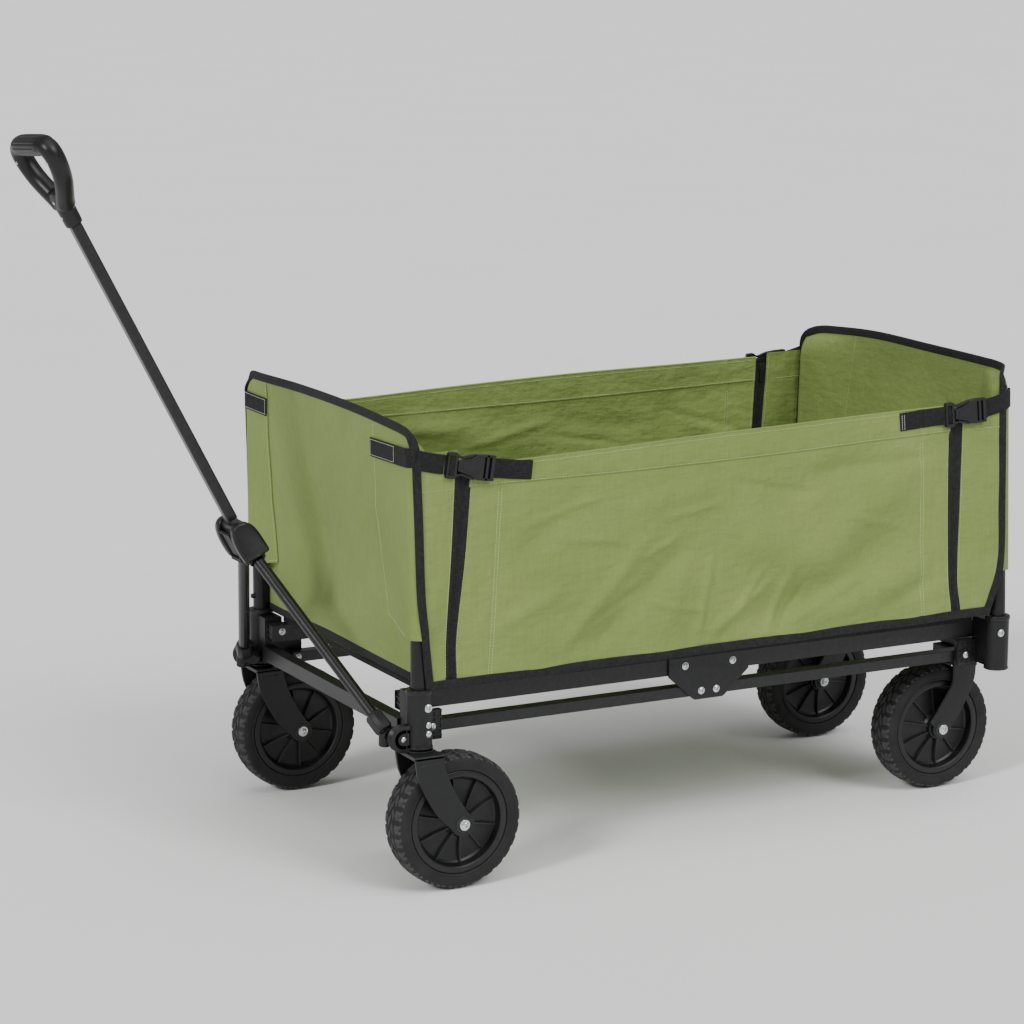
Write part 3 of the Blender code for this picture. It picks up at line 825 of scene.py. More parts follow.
# ---------------------------------------------------------------- frame details
def build_socket_trim(end, side):
    """Lip, moulding ribs on the rail bracket, and the bolts of one corner."""
    s = SIDES[side]
    body = f"{end}_frame"
    x, y = END_X[end], s * POST_Y
    inward = INWARD[end]
    low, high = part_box(f"{end}_socket_{side}")
    bm = bmesh.new()
    lathe(bm, ((0.0113, -0.0004), (0.0176, -0.0046), (0.0181, -0.0012), (0.0174, 0.0014), (0.0152, 0.002),
               (0.0113, 0.002)), (x, y, high.z), (0, 0, 1), 40, closed=True)
    lathe(bm, ((0.016, 0.0), (0.0174, 0.0006), (0.0174, 0.003), (0.016, 0.0036)), (x, y, low.z + 0.001),
          (0, 0, 1), 40, closed=True)
    inner_y = s * (BRACKET_Y + 0.0006)
    for k in range(5):
        z = 0.1945 + 0.008 * k
        block(bm, upright, (x + inward * 0.017, x + inward * 0.0468), (z, z + 0.0028),
              (inner_y, s * 0.2278))
    for k in range(4):
        edges = [x + inward * (0.02 + 0.0082 * k + t) for t in (0.0, 0.0018)]
        block(bm, upright, edges, (0.1905, 0.2298), (inner_y, s * 0.2276))
    lathe(bm, ((0.0045, 0.0), (0.0085, 0.0), (0.0085, 0.0024), (0.0045, 0.0024)),
          (x + inward * BRACKET_D, s * 0.2262, BRACKET_Z), (0, s, 0), 28, closed=True)
    if end == "front":
        build_ear_ribs(bm, s)
    bevel(add_piece(f"{end}_socket_ribs_{side}", bm, SATIN_PLASTIC, body, "black_plastic"), 0.0005)
    outer = s * (POST_Y + 0.0167)
    bolt(body, (x + inward * 0.005, outer - s * 0.0003, 0.246), (0, s, 0), 0.0048, 0.0024)
    if end == "front":
        for z in (0.2235, 0.212):
            bolt(body, (x + 0.0052, outer - s * 0.0004, z), (0, s, 0), 0.0037, 0.002)
    bolt(body, (x + inward * BRACKET_D, s * 0.2286, BRACKET_Z), (0, s, 0), 0.0042, 0.0022)
    bolt(body, (x + inward * 0.0074, s * RAIL_INSIDE, 0.2455), (0, -s, 0), 0.0044, 0.0022)
    bolt(f"{end}_lower_rails", (x + inward * BRACKET_D, s * RAIL_INSIDE, LOWER_PIN_Z), (0, -s, 0), 0.004,
         0.0022)


def build_ear_ribs(bm, s):
    """Open lattice moulded on the yoke ear: a round rim with straight tails, cross ribs and a boss."""
    pivot = middle("yoke_pin_right")
    for face, out, depth in ((0.2555, 1, 0.012), (0.2445, -1, 0.004)):
        y, square = s * face, Vector((0, s * out, 0))
        lines = []
        for r, tail in ((0.0128, 0.03), (0.0078, 0.004)):
            arc = [Vector((pivot.x + r * math.cos(a), y, pivot.z + r * math.sin(a)))
                   for a in (math.radians(turn) for turn in steps(90, 270, 14))]
            ends = [Vector((pivot.x + tail, y, arc[k].z)) for k in (0, -1)]
            lines.append([ends[0]] + arc + [ends[1]])
        for d in (0.0095, 0.0165, 0.0235):
            lines.append([Vector((pivot.x + d, y, pivot.z + t)) for t in (-0.0125, 0.0, 0.0125)])
        for rise in (-0.0045, 0.004):
            lines.append([Vector((pivot.x + t, y, pivot.z + rise)) for t in (0.007, 0.018, 0.029)])
        for line in lines:
            sweep(bm, line, square, flat_section(0.0014, depth, 2))


def build_post(end, side):
    """Corner post with a rounded plug in its top."""
    s = SIDES[side]
    low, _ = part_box(f"{end}_post_{side}")
    bm = bmesh.new()
    profile = [(0, low.z), (POST_R - 0.0006, low.z), (POST_R, low.z + 0.0006)]
    profile += [(POST_R, z) for z in steps(low.z + 0.06, 0.566, 12)]
    profile += [(0.0104, 0.569), (0.008, 0.5715), (0.004, 0.5728), (0, 0.573)]
    lathe(bm, profile, (END_X[end], s * POST_Y, 0), (0, 0, 1), 36)
    post = add_piece(f"{end}_post_tube_{side}", bm, STEEL, f"{end}_frame", "black_steel", 30, soft=True)
    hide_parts(f"{end}_post_{side}")


def build_rear_blocks(side):
    """Rounded block with star ribs that carries each rear lower rail."""
    s = SIDES[side]
    bm = bmesh.new()
    for a in turns(8):
        along = Vector((math.cos(a + 0.2), 0, math.sin(a + 0.2)))
        line = [at("rear", BRACKET_D, s * 0.2283, BRACKET_Z) + along * r for r in (0.006, 0.0095, 0.0125)]
        sweep(bm, line, Vector((0, s, 0)), flat_section(0.0012, 0.0018, 2))
    outline = ((0.0135, 0.1925), (0.0465, 0.1925), (0.0475, 0.195),
               (0.0475, 0.229), (0.0455, 0.2312), (0.0135, 0.2312))
    prism(bm, [(END_X["rear"] - d, v) for d, v in outline], upright, s * 0.2262, s * 0.2276)
    frame_line = [at("rear", d, s * 0.2282, v)
                  for d, v in ((0.017, 0.23), (0.044, 0.23), (0.046, 0.228), (0.046, 0.1945))]
    sweep(bm, frame_line, Vector((0, s, 0)), flat_section(0.0018, 0.0022, 2))
    bevel(add_piece(f"rear_block_{side}", bm, PLASTIC, "rear_frame", "black_plastic"), 0.0004)


def build_centre_bolts():
    """Four heads on the outside of each centre plate, and two on its inside."""
    for s in (-1, 1):
        for d, z in ((-0.0375, UPPER_PIN_Z), (0.0375, UPPER_PIN_Z), (-0.0118, LOWER_PIN_Z),
                     (0.0118, LOWER_PIN_Z)):
            bolt("centre", (MID_X + d, s * PLATE_OUTSIDE, z), (0, s, 0))
        for d in (-0.0375, 0.0375):
            bolt("centre", (MID_X + d, s * 0.199, UPPER_PIN_Z), (0, -s, 0), 0.0044, 0.0024)


def build_end_caps():
    """Ribbed plastic plugs in the open ends of the upper rails, and the button on one post."""
    for end in ENDS:
        for side in SIDES:
            low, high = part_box(f"{end}_upper_rail_{side}")
            x = low.x if end == "front" else high.x
            inward = INWARD[end]
            bm = bmesh.new()
            block(bm, crosswise, (low.y + 0.0016, high.y - 0.0016), (low.z + 0.0016, high.z - 0.0016),
                  (x + inward * 0.003, x + inward * 0.006))
            for k in (1, 2):
                z = mix(low.z, high.z, k / 3)
                block(bm, crosswise, (low.y + 0.002, high.y - 0.002), (z - 0.0006, z + 0.0006),
                      (x + inward * 0.0012, x + inward * 0.0035))
            add_piece(f"{end}_rail_plug_{side}", bm, PLASTIC, f"{end}_rails", "black_plastic")
    bm = bmesh.new()
    lathe(bm, ((0, -0.004), (0.0036, -0.004), (0.0036, 0.003), (0.0028, 0.0046), (0.0012, 0.0052),
               (0, 0.0053)),
          (END_X["front"] - 0.0106, POST_Y - 0.0015, 0.288), (-1, 0, 0), 20)
    add_piece("post_button", bm, PLASTIC, "front_frame", "black_plastic")


# ---------------------------------------------------------------- handle
def on_handle(across, along, out):
    """A point of the handle: across = y, along the axis from the hub, out = square to both."""
    c, s = math.cos(HANDLE_TILT), math.sin(HANDLE_TILT)
    return Vector((END_X["front"] + HUB_D - along * s - out * c, across, HUB_Z + along * c - out * s))


def yoke_tube(s):
    """Foot and top of a yoke tube, and the direction from one to the other."""
    d, y, z = YOKE_FOOT
    foot = at("front", d, s * y, z)
    top = on_handle(s * 0.0135, -0.02, 0.0)
    return foot, top, (top - foot).normalized()


def build_yoke_trim():
    """Boxy clamps and stub caps at the yoke's feet."""
    for side, s in SIDES.items():
        foot, _, axis = yoke_tube(s)
        bm = bmesh.new()
        line = [foot + axis * t for t in (0.005, 0.009, 0.029, 0.033)]
        octagon = mirrored([(0.55, -1), (1, -0.55), (1, 0.55), (0.55, 1)])
        box = [(a * 0.0108, b * 0.0102) for a, b in octagon]
        sweep(bm, line, Vector((-1, 0, 0)), box, lambda t: 0.9 if t in (0.0, 1.0) else 1.04)
        lathe(bm, ((0, -0.0168), (0.006, -0.0165), (0.0074, -0.0145), (0.008, -0.004), (0.0078, 0.001),
                   (0, 0.002)), foot + Vector((-0.003, 0, 0)), (0.1, 0, 1.0), 24)
        bevel(add_piece(f"yoke_collar_{side}", bm, PLASTIC, "handle", "black_plastic"), 0.0009)
        pin = middle(f"yoke_pin_{side}")
        bolt("handle", (pin.x, s * 0.26, pin.z), (0, s, 0), 0.0042, 0.0024)


def on_hub(out, along, across):
    """Place an outline square to the hub: out, along the handle, and w across."""
    return on_handle(across, along, out)


def build_hub():
    """Curved block with an inset panel; both yoke tubes run into arches in its underside."""
    bm = bmesh.new()
    dome = [(-0.0195, -0.026), (-0.0185, -0.01), (-0.0165, 0.008), (-0.0115, 0.021), (-0.002, 0.0285),
            (0.009, 0.0285), (0.0165, 0.0215), (0.0198, 0.008), (0.02, -0.01), (0.018, -0.026)]
    shell = [(p.x, p.y) for p in smooth_line([Vector((u, v, 0)) for u, v in dome], 3)]
    for s in (-1, 1):
        prism(bm, shell, on_hub, s * 0.019, s * 0.0325)
    prism(bm, [(-0.0185, -0.024), (-0.0165, 0.006), (-0.01, 0.022), (0.008, 0.027), (0.012, 0.018),
               (0.0125, -0.024)], on_hub, -0.0235, 0.0235)
    hub = bevel(add_piece("hub_shell", bm, SATIN_PLASTIC, "handle", "black_plastic"), 0.006, 6, 40)
    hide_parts("yoke_hub")
    build_hub_front()
    for side, s in SIDES.items():
        bm = bmesh.new()
        _, top, axis = yoke_tube(s)
        lathe(bm, ((0.008, 0.0), (0.0128, 0.0), (0.013, 0.008), (0.012, 0.0118), (0.0108, 0.0122),
                   (0.0096, 0.0095), (0.008, 0.008)), top - axis * 0.004, -axis, 36, closed=True)
        add_piece(f"hub_arch_{side}", bm, SATIN_PLASTIC, "handle", "black_plastic")


def build_hub_front():
    """Inset panel with a raised frame round it, and a lattice across the hub's underside."""
    bm = bmesh.new()
    panel = [(-0.0135, -0.019), (0.0135, -0.019), (0.0165, 0.015), (-0.0165, 0.015)]
    prism(bm, panel, on_handle, 0.015, 0.0166)
    bevel(add_piece("hub_panel", bm, GREY_PLASTIC, "handle", "black_plastic"), 0.0006)
    bm = bmesh.new()
    rim = ((-0.016, -0.0215), (0.016, -0.0215), (0.0195, 0.0175), (-0.0195, 0.0175))
    corners = [on_hub(0.0172, v, u) for u, v in rim]
    origin = on_hub(0, 0, 0)
    out = (on_hub(1, 0, 0) - origin).normalized()
    down = (on_hub(0, -1, 0) - origin).normalized()
    for a, b in zip(corners, corners[1:] + corners[:1]):
        sweep(bm, [a, a.lerp(b, 0.5), b], out, flat_section(0.003, 0.0046))
    lattice = [[(0.015 - 0.0085 * t, u) for t in (0.0, 1.0, 2.2, 3.4)] for u in steps(-0.02, 0.02, 4)]
    lattice += [[(v, u) for u in (-0.027, 0.0, 0.027)] for v in (0.016, 0.004, -0.008)]
    for places in lattice:
        line = [on_hub(v, -0.0262, u) for v, u in places]
        sweep(bm, line, down, flat_section(0.0016, 0.0052, 2))
    add_piece("hub_frame", bm, PLASTIC, "handle", "black_plastic")


def on_grip(across, along, out):
    """A point of the grip, which sits turned a little about its tube."""
    c, s = math.cos(GRIP_TWIST), math.sin(GRIP_TWIST)
    return on_handle(across * c - out * s, along, across * s + out * c)


def smooth_line(knots, parts=4):
    """Points of a smooth curve through the knots."""
    line = []
    for i in range(len(knots) - 1):
        before, after = knots[max(i - 1, 0)], knots[min(i + 2, len(knots) - 1)]
        slope_a, slope_b = (knots[i + 1] - before) / 2, (after - knots[i]) / 2
        for k in range(parts):
            t = k / parts
            line.append(knots[i] * (1 + 2 * t) * (1 - t) ** 2 + slope_a * t * (1 - t) ** 2
                        + knots[i + 1] * t * t * (3 - 2 * t) + slope_b * t * t * (t - 1))
    line.append(knots[-1])
    return line


def grip_line():
    """Centre line of the D, from the neck up one arm, along the bar and down the other."""
    right = [(0.006, 0.506), (0.012, 0.515), (0.0235, 0.528), (0.035, 0.543), (0.0424, 0.56),
             (0.0446, 0.574), (0.042, 0.585), (0.034, GRIP_BAR - 0.0015), (0.02, GRIP_BAR),
             (0.0, GRIP_BAR)]
    return right + [(-u, v) for u, v in reversed(right[:-1])]


def build_grip():
    """The D of the grip, melted into one body with its neck."""
    bm = bmesh.new()
    fine = smooth_line([on_grip(u, v, 0.0) for u, v in grip_line()])
    out = (on_grip(0, 0, 1) - on_grip(0, 0, 0)).normalized()
    section = [(0.0108 * math.cos(a), 0.0126 * math.sin(a)) for a in turns(20)]
    sweep(bm, fine, out, section, lambda t: 1.0 + 0.14 * math.exp(-((t - 0.5) / 0.2) ** 2))
    neck = ((0.4772, 0.0112, 0.0104), (0.479, 0.0124, 0.0114), (0.486, 0.0128, 0.0116),
            (0.496, 0.0132, 0.0118), (0.508, 0.0152, 0.012), (0.518, 0.0215, 0.0114),
            (0.526, 0.0165, 0.0095), (0.53, 0.006, 0.0045))
    skin(bm, [[bm.verts.new(on_grip(wide * math.cos(a), along, deep * math.sin(a))) for a in turns(28)]
              for along, wide, deep in neck])
    grip = add_piece("grip_body", bm, SATIN_PLASTIC, "handle", "black_plastic", 60)
    remesh = grip.modifiers.new("melt", "REMESH")
    remesh.mode = "VOXEL"
    remesh.voxel_size = 0.0011
    remesh.use_smooth_shade = True
    soften = grip.modifiers.new("soften", "SMOOTH")
    soften.iterations = 10
    soften.factor = 0.5
    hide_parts("handle_grip")
    build_grip_details(out)


def build_grip_details(out):
    """Grooved skin round the bar, and the small screws that hold the two halves of the grip."""
    bm = bmesh.new()
    rings = []
    for u in steps(-SKIN_HALF, SKIN_HALF, 30):
        edge = 0.0026 * (abs(u) / SKIN_HALF) ** 6
        fade = 1 - smooth_step(0.026, 0.031, abs(u))
        ring = []
        for a in turns(8 * GROOVES):
            groove = 0.0009 * max(0.0, math.cos(GROOVES * a)) ** 3 * fade
            wide, deep = 0.0134 - edge - groove, 0.0154 - edge - groove
            ring.append(bm.verts.new(on_grip(u, GRIP_BAR - 0.0004 + wide * math.cos(a), deep * math.sin(a))))
        rings.append(ring)
    skin(bm, rings)
    add_piece("grip_sleeve", bm, SATIN_PLASTIC, "handle", "black_plastic", 50)
    for across, along, lift in ((-0.043, 0.573, 0.0124), (0.043, 0.573, 0.0124), (0.0, 0.515, 0.0112),
                                (0.0, 0.493, 0.0112)):
        bolt("handle", on_grip(across, along, lift), out, 0.0022, 0.0018)


# ---------------------------------------------------------------- shape of the tub
def creased(places, u, v):
    """Sum of soft ridges; each place is (u1, v1, u2, v2, width, height)."""
    total = 0.0
    for u1, v1, u2, v2, width, height in places:
        du, dv = u2 - u1, v2 - v1
        length = du * du + dv * dv
        t = ((u - u1) * du + (v - v1) * dv) / length
        off = math.hypot(u - u1 - t * du, v - v1 - t * dv)
        ends = smooth_step(-0.15, 0.25, t) * (1 - smooth_step(0.75, 1.15, t))
        total += height * ends * math.exp(-(off / width) ** 2)
    return total * CREASE_DEPTH


CREASE_DEPTH = 1.75
SIDE_CREASES = (
    (0.2, 0.3, 0.33, 0.44, 0.012, 0.003), (0.24, 0.292, 0.4, 0.43, 0.016, -0.0032),
    (0.42, 0.29, 0.52, 0.36, 0.008, 0.0028), (0.44, 0.284, 0.47, 0.33, 0.006, -0.0022),
    (0.47, 0.43, 0.66, 0.36, 0.03, 0.0045), (0.52, 0.47, 0.72, 0.52, 0.022, -0.003),
    (0.48, 0.3, 0.76, 0.4, 0.034, -0.005), (0.56, 0.29, 0.76, 0.35, 0.026, 0.0048),
    (0.11, 0.34, 0.2, 0.38, 0.01, 0.002), (0.7, 0.3, 0.79, 0.335, 0.012, -0.0024),
    (0.3, 0.48, 0.44, 0.5, 0.014, 0.0016), (0.13, 0.42, 0.23, 0.5, 0.02, -0.0022),
    (0.6, 0.5, 0.78, 0.505, 0.01, -0.002), (0.36, 0.3, 0.38, 0.4, 0.018, 0.002),
    (0.404, 0.276, 0.426, 0.4, 0.0052, 0.0019), (0.449, 0.3, 0.508, 0.38, 0.005, 0.002),
    (0.516, 0.283, 0.552, 0.376, 0.006, 0.0026), (0.53, 0.28, 0.575, 0.35, 0.0055, -0.0022),
    (0.552, 0.298, 0.669, 0.352, 0.0065, 0.0022), (0.552, 0.36, 0.764, 0.5, 0.03, 0.004),
    (0.207, 0.447, 0.29, 0.436, 0.0045, 0.0014), (0.347, 0.46, 0.449, 0.476, 0.005, 0.0015),
    (0.317, 0.41, 0.376, 0.436, 0.0045, 0.0014), (0.236, 0.33, 0.318, 0.372, 0.0055, -0.0016),
    (0.15, 0.47, 0.26, 0.5, 0.006, 0.0014), (0.46, 0.5, 0.6, 0.47, 0.006, -0.0015),
    (0.64, 0.44, 0.74, 0.41, 0.0055, 0.0013), (0.33, 0.35, 0.41, 0.33, 0.005, 0.0015),
)


def side_out(side, x, z):
    """|y| of the middle of a side cloth, x counted from the front post."""
    low, high = follow(TUB_BOTTOM, x), follow(SIDE_TOP, x)
    v = (z - low) / (high - low)
    flipped = x if side == "left" else LENGTH - x + 0.02
    settle = smooth_step(0.0, 0.16, v) * (1 - 0.75 * smooth_step(0.86, 1.0, v))
    inside = smooth_step(0.055, 0.1, x) * (1 - smooth_step(0.76, 0.815, x))
    belly = 0.004 * math.sin(math.pi * min(max(v, 0),
                                           1)) * math.sin(math.pi * min(max((x - 0.05) / 0.78, 0), 1))
    ripple = 0.0016 * noise.fractal(Vector((flipped * 9.0, z * 12.0, 3.7)), 1.0, 2.0, 3)
    sway = 0.0012 * math.sin(x * 24.0 + 1.0) * smooth_step(0.8, 1.0, v)
    out = SIDE_Y + belly + sway + settle * inside * (creased(SIDE_CREASES, flipped, z) + ripple)
    for line in SIDE_SEAMS:
        seam_x = follow(line, z)
        out -= 0.0009 * math.exp(-((x - seam_x) / 0.0028) ** 2)
    out -= 0.0007 * math.exp(-((z - follow(SIDE_HEM, x)) / 0.0026) ** 2)
    return out


def zip_edges(end, z):
    """d of a zip's near and far edges."""
    mid, half = follow(ZIP_MIDDLE[end], z), follow(ZIP_HALF, z)
    return mid - half, mid + half


def side_point(side, x, z, lift=0.0):
    """A point on a side cloth, x counted from the front post."""
    return Vector((END_X["front"] + x, SIDES[side] * (side_out(side, x, z) + lift), z))


def flap_x(z, t):
    """x at share t of the way along a side cloth, from the front zip to the rear one."""
    return mix(zip_edges("front", z)[1], LENGTH - zip_edges("rear", z)[1], t)


def corner_point(end, z):
    """(d, |y|) of the tub's corner edge."""
    return follow(CORNER_D[end], z), follow(CORNER_Y[end], z)


def cloth_top(end, y):
    """Height of the end cloth's top edge, with its rounded shoulders."""
    flat = SHOULDER[end][0][0]
    if abs(y) <= flat:
        return follow(END_TOP[end], y)
    return follow(END_TOP[end], math.copysign(flat, y)) - follow(SHOULDER[end], abs(y))


def top_d(end, y):
    """d of the top edge, which turns from the end face to the corner edge."""
    corner = follow(CORNER_D[end], 0.59)
    return mix(-0.0118, corner, smooth_step(0.248, 0.2715, abs(y)))


def closed_over(end, d, y, z):
    """d of a sleeve layer: both layers come together above the post, under the top binding."""
    top = cloth_top(end, y)
    t = min(max((z - (top - CLOSING_H)) / (CLOSING_H - TOP_BINDING_W * 0.8), 0.0), 1.0)
    return mix(top_d(end, y), d, math.sqrt(1.0 - t * t))


def end_d(end, y, z):
    """d of the end cloth between its sleeves."""
    lean = follow(LEAN[end], z)
    if end == "front":
        hollow = 0.011 * math.exp(-((y - 0.055) / 0.055) ** 2 - ((z - 0.395) / 0.085) ** 2)
    else:
        hollow = 0.005 * math.exp(-((y + 0.03) / 0.09) ** 2 - ((z - 0.43) / 0.08) ** 2)
    seed = 1.3 if end == "front" else 8.1
    ripple = 0.002 * noise.fractal(Vector((y * 8.0, z * 9.0, seed)), 1.0, 2.0, 3)
    calm = (1 - smooth_step(0.585, 0.61, z)) * smooth_step(0.268, 0.3, z)
    fold = creased(((-0.1, 0.33, 0.1, 0.3, 0.016, -0.0025), (-0.05, 0.52, 0.08, 0.46, 0.02, 0.0022),
                    (-0.16, 0.5, -0.04, 0.42, 0.018, -0.002)), y, z)
    return lean + hollow + (ripple + fold) * calm


def end_bottom(end, y):
    """Height of the end cloth's foot, a little higher in the middle."""
    base = follow(TUB_BOTTOM, 0.0 if end == "front" else LENGTH)
    return base + 0.0035 * (1 - (y / POST_Y) ** 2)


def seam_point(end, side, z):
    """(d, |y|) of the seam where a sleeve starts."""
    y = follow(SEAM[end, side], z)
    return end_d(end, SIDES[side] * y, z), y


def round_post(radius, turn):
    """(d, |y|) at an angle round a post, from straight towards the middle."""
    return radius * math.cos(turn), POST_Y + radius * math.sin(turn)


def inner_path(end, side, z, t):
    """(d, |y|) of the tub's inner layer from the seam, inside the post, to the corner edge."""
    d0, y0 = seam_point(end, side, z)
    dc, yc = corner_point(end, z)
    turn_end, radius_end = math.atan2(yc - POST_Y, dc), math.hypot(dc, yc - POST_Y) - 0.0016
    turn_start, radius = math.radians(-24), follow(INNER_R[end], z)
    d1, y1 = round_post(radius, turn_start)
    if t < 0.7:
        k = t / 0.7
        d, y = mix(d0, d1, mix(k, smooth_step(0, 1, k), 0.35)), mix(y0, y1, k)
    else:
        k = (t - 0.7) / 0.3
        d, y = round_post(mix(radius, radius_end, k), mix(turn_start, turn_end, k))
    return closed_over(end, d, SIDES[side] * y, z), y


def sleeve_path(end, side, z, t):
    """(d, |y|) of the sleeve's outer layer from the seam, outside the post, to the corner edge."""
    d0, y0 = seam_point(end, side, z)
    d0 -= CLOTH_THICK * 1.15
    dc, yc = corner_point(end, z)
    turn_end, turn_start = math.atan2(yc - POST_Y, dc), math.radians(192)
    d1, y1 = round_post(SLEEVE_R[end], turn_start)
    if t < 0.6:
        k = t / 0.6
        d, y = mix(d0, d1, mix(k, smooth_step(0, 1, k), 0.3)), mix(y0, y1, k)
    else:
        d, y = round_post(SLEEVE_R[end], mix(turn_start, turn_end, (t - 0.6) / 0.4))
    return closed_over(end, d, SIDES[side] * y, z), y


def strip_path(end, z, t):
    """(d, |y|) of the narrow cloth from the corner edge to the zip."""
    dc, yc = corner_point(end, z)
    dz, yz = zip_edges(end, z)[0], SIDE_Y
    knee = smooth_step(0.325, 0.36, z)
    dk = mix((dc + dz) / 2, 0.009 if end == "front" else 0.02, knee)
    yk = mix((yc + yz) / 2, POST_Y + SLEEVE_R[end] + (0.0022 if end == "front" else 0.001), knee)
    a, b, c = (1 - t) ** 2, 2 * t * (1 - t), t * t
    return a * dc + b * dk + c * dz, a * yc + b * yk + c * yz


def strip_top(end):
    return 0.5765 if end == "front" else 0.579


# ---------------------------------------------------------------- cloth pieces
def grid(count_u, count_v, point):
    """Rows of points at even shares of both ways."""
    return [[point(i / count_u, j / count_v) for j in range(count_v + 1)] for i in range(count_u + 1)]


def add_sheet(name, rows, body, thickness=CLOTH_THICK, smooth=80):
    """A piece of canvas from a grid of points."""
    bm = bmesh.new()
    sheet_shell(bm, rows, thickness)
    return add_piece(name, bm, CANVAS, body, "cloth", smooth)


def add_band(name, line, outs, section, body, material=BINDING, smooth=60):
    """A strap or a binding along one line."""
    bm = bmesh.new()
    sweep(bm, line, outs, section)
    return add_piece(name, bm, material, body, "cloth", smooth)


def gather(obj):
    """Give a cloth its own copy of its mesh."""
    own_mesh(obj)


def gather_flap(obj):
    """Give a piece of the cloth between the zips its own copy of its mesh, as gather does."""
    gather(obj)


def flatten_end(obj, end):
    """Give an end cloth its own copy of its mesh."""
    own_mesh(obj)


def build_side(side):
    """Long side cloth between the zips, with its top hem folded over on both faces."""
    body = f"side_flap_{side}"

    def point(v, u):
        x_guess = flap_x(0.42, u)
        z = mix(follow(TUB_BOTTOM, x_guess) + 0.004, follow(SIDE_TOP, x_guess), v)
        return side_point(side, flap_x(z, u), z)

    cloth = add_sheet(f"side_cloth_{side}", grid(90, 240, point), body)
    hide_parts(f"side_panel_{side}")
    hems = []
    for face in (-1, 1):
        def hem_point(v, u, face=face):
            x = flap_x(0.55, u)
            z = mix(follow(SIDE_HEM, x), follow(SIDE_TOP, x) + 0.0008, v)
            return side_point(side, flap_x(z, u), z,
                              face * (CLOTH_THICK * 0.9 + 0.0004 * math.sin(math.pi * v)))

        name = f"side_hem_{side}_{'in' if face < 0 else 'out'}"
        hems.append(add_sheet(name, grid(12, 160, hem_point), body, 0.0009))
    spread = [flap_x(0.56, u) for u in steps(0, 1, 120)]
    rim = [side_point(side, x, follow(SIDE_TOP, x) + 0.0004) for x in spread]
    section = flat_section(0.0042, 0.0026, 4)
    hems.append(add_band(f"side_rim_{side}", rim, Vector((0, 0, 1)), section, body, CANVAS, 80))
    for obj in [cloth] + hems:
        gather_flap(obj)


def build_end_cloth(end):
    """One sheet from corner edge to corner edge, inside both posts."""
    def between_seams(share, z):
        return mix(-follow(SEAM[end, "left"], z), follow(SEAM[end, "right"], z), share)

    def point(v, u):
        if 0.25 <= u <= 0.75:
            share = (u - 0.25) / 0.5
            y_guess = between_seams(share, 0.45)
            z = mix(end_bottom(end, y_guess) + 0.003, cloth_top(end, y_guess), v)
            y = between_seams(share, z)
            return at(end, end_d(end, y, z), y, z)
        side = "left" if u < 0.25 else "right"
        t = (0.25 - u) / 0.25 if u < 0.25 else (u - 0.75) / 0.25
        y_guess = SIDES[side] * inner_path(end, side, 0.5, t)[1]
        z = mix(end_bottom(end, y_guess) + 0.003, cloth_top(end, y_guess), v)
        d, y = inner_path(end, side, z, t)
        return at(end, d, SIDES[side] * y, z)

    cloth = add_sheet(f"{end}_cloth", grid(76, 176, point), f"{end}_frame")
    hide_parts(f"{end}_panel")
    flatten_end(cloth, end)


def build_sleeve(end, side):
    """Outer layer round one post, and the strip from the corner edge to the zip."""
    s = SIDES[side]
    body = f"{end}_frame"

    def point(v, u):
        seam_low = SLEEVE_BOTTOM + 0.01 * (1 - smooth_step(0.0, 0.6, u))
        z = mix(seam_low, cloth_top(end, s * sleeve_path(end, side, 0.5, u)[1]), v)
        d, y = sleeve_path(end, side, z, u)
        return at(end, d, s * y, z)

    sleeve = add_sheet(f"{end}_sleeve_{side}", grid(64, 72, point), body)

    def strip(v, u):
        z = mix(follow(TUB_BOTTOM, 0.03 if end == "front" else LENGTH - 0.05) + 0.004, strip_top(end), v)
        d, y = strip_path(end, z, u)
        y += 0.001 * noise.noise(Vector((d * 60.0, z * 22.0, s + 5.0))) * math.sin(math.pi * u)
        return at(end, d, s * y, z)

    strip_obj = add_sheet(f"{end}_strip_{side}", grid(64, 26, strip), body)
    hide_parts(f"{end}_corner_{side}")
    wide = POST_Y - follow(SEAM[end, side], 0.45) + 0.024


def corner_line(end, side, top):
    """Points and outward directions up the tub's corner edge."""
    points, outs = [], []
    for z in steps(follow(TUB_BOTTOM, 0 if end == "front" else LENGTH), top, 60):
        d, y = corner_point(end, z)
        radial = Vector((INWARD[end] * d, SIDES[side] * (y - POST_Y), 0)).normalized()
        flat = Vector((0, SIDES[side], 0))
        out = radial.lerp(flat, 1 - smooth_step(0.3, 0.36, z)).normalized()
        points.append(at(end, d, SIDES[side] * y, z) + out * 0.001)
        outs.append(out)
    return points, outs


def top_line(end):
    """Points and outward directions along the top edge of an end cloth, from corner to corner."""
    flat = SHOULDER[end][0][0]
    turns = [y for y, _ in SHOULDER[end]]
    places = [-y for y in reversed(turns)] + steps(-flat, flat, 24)[1:-1] + turns
    knots = [at(end, top_d(end, y), y, cloth_top(end, y) - 0.0018) for y in places]
    points = smooth_line(knots)
    outs = []
    for point in points:
        turn = smooth_step(flat, SHOULDER[end][-1][0], abs(point.y))
        out = Vector((-INWARD[end] * (1 - turn * 0.75), math.copysign(turn * 0.8, point.y), 0))
        outs.append(out.normalized())
    return points, outs


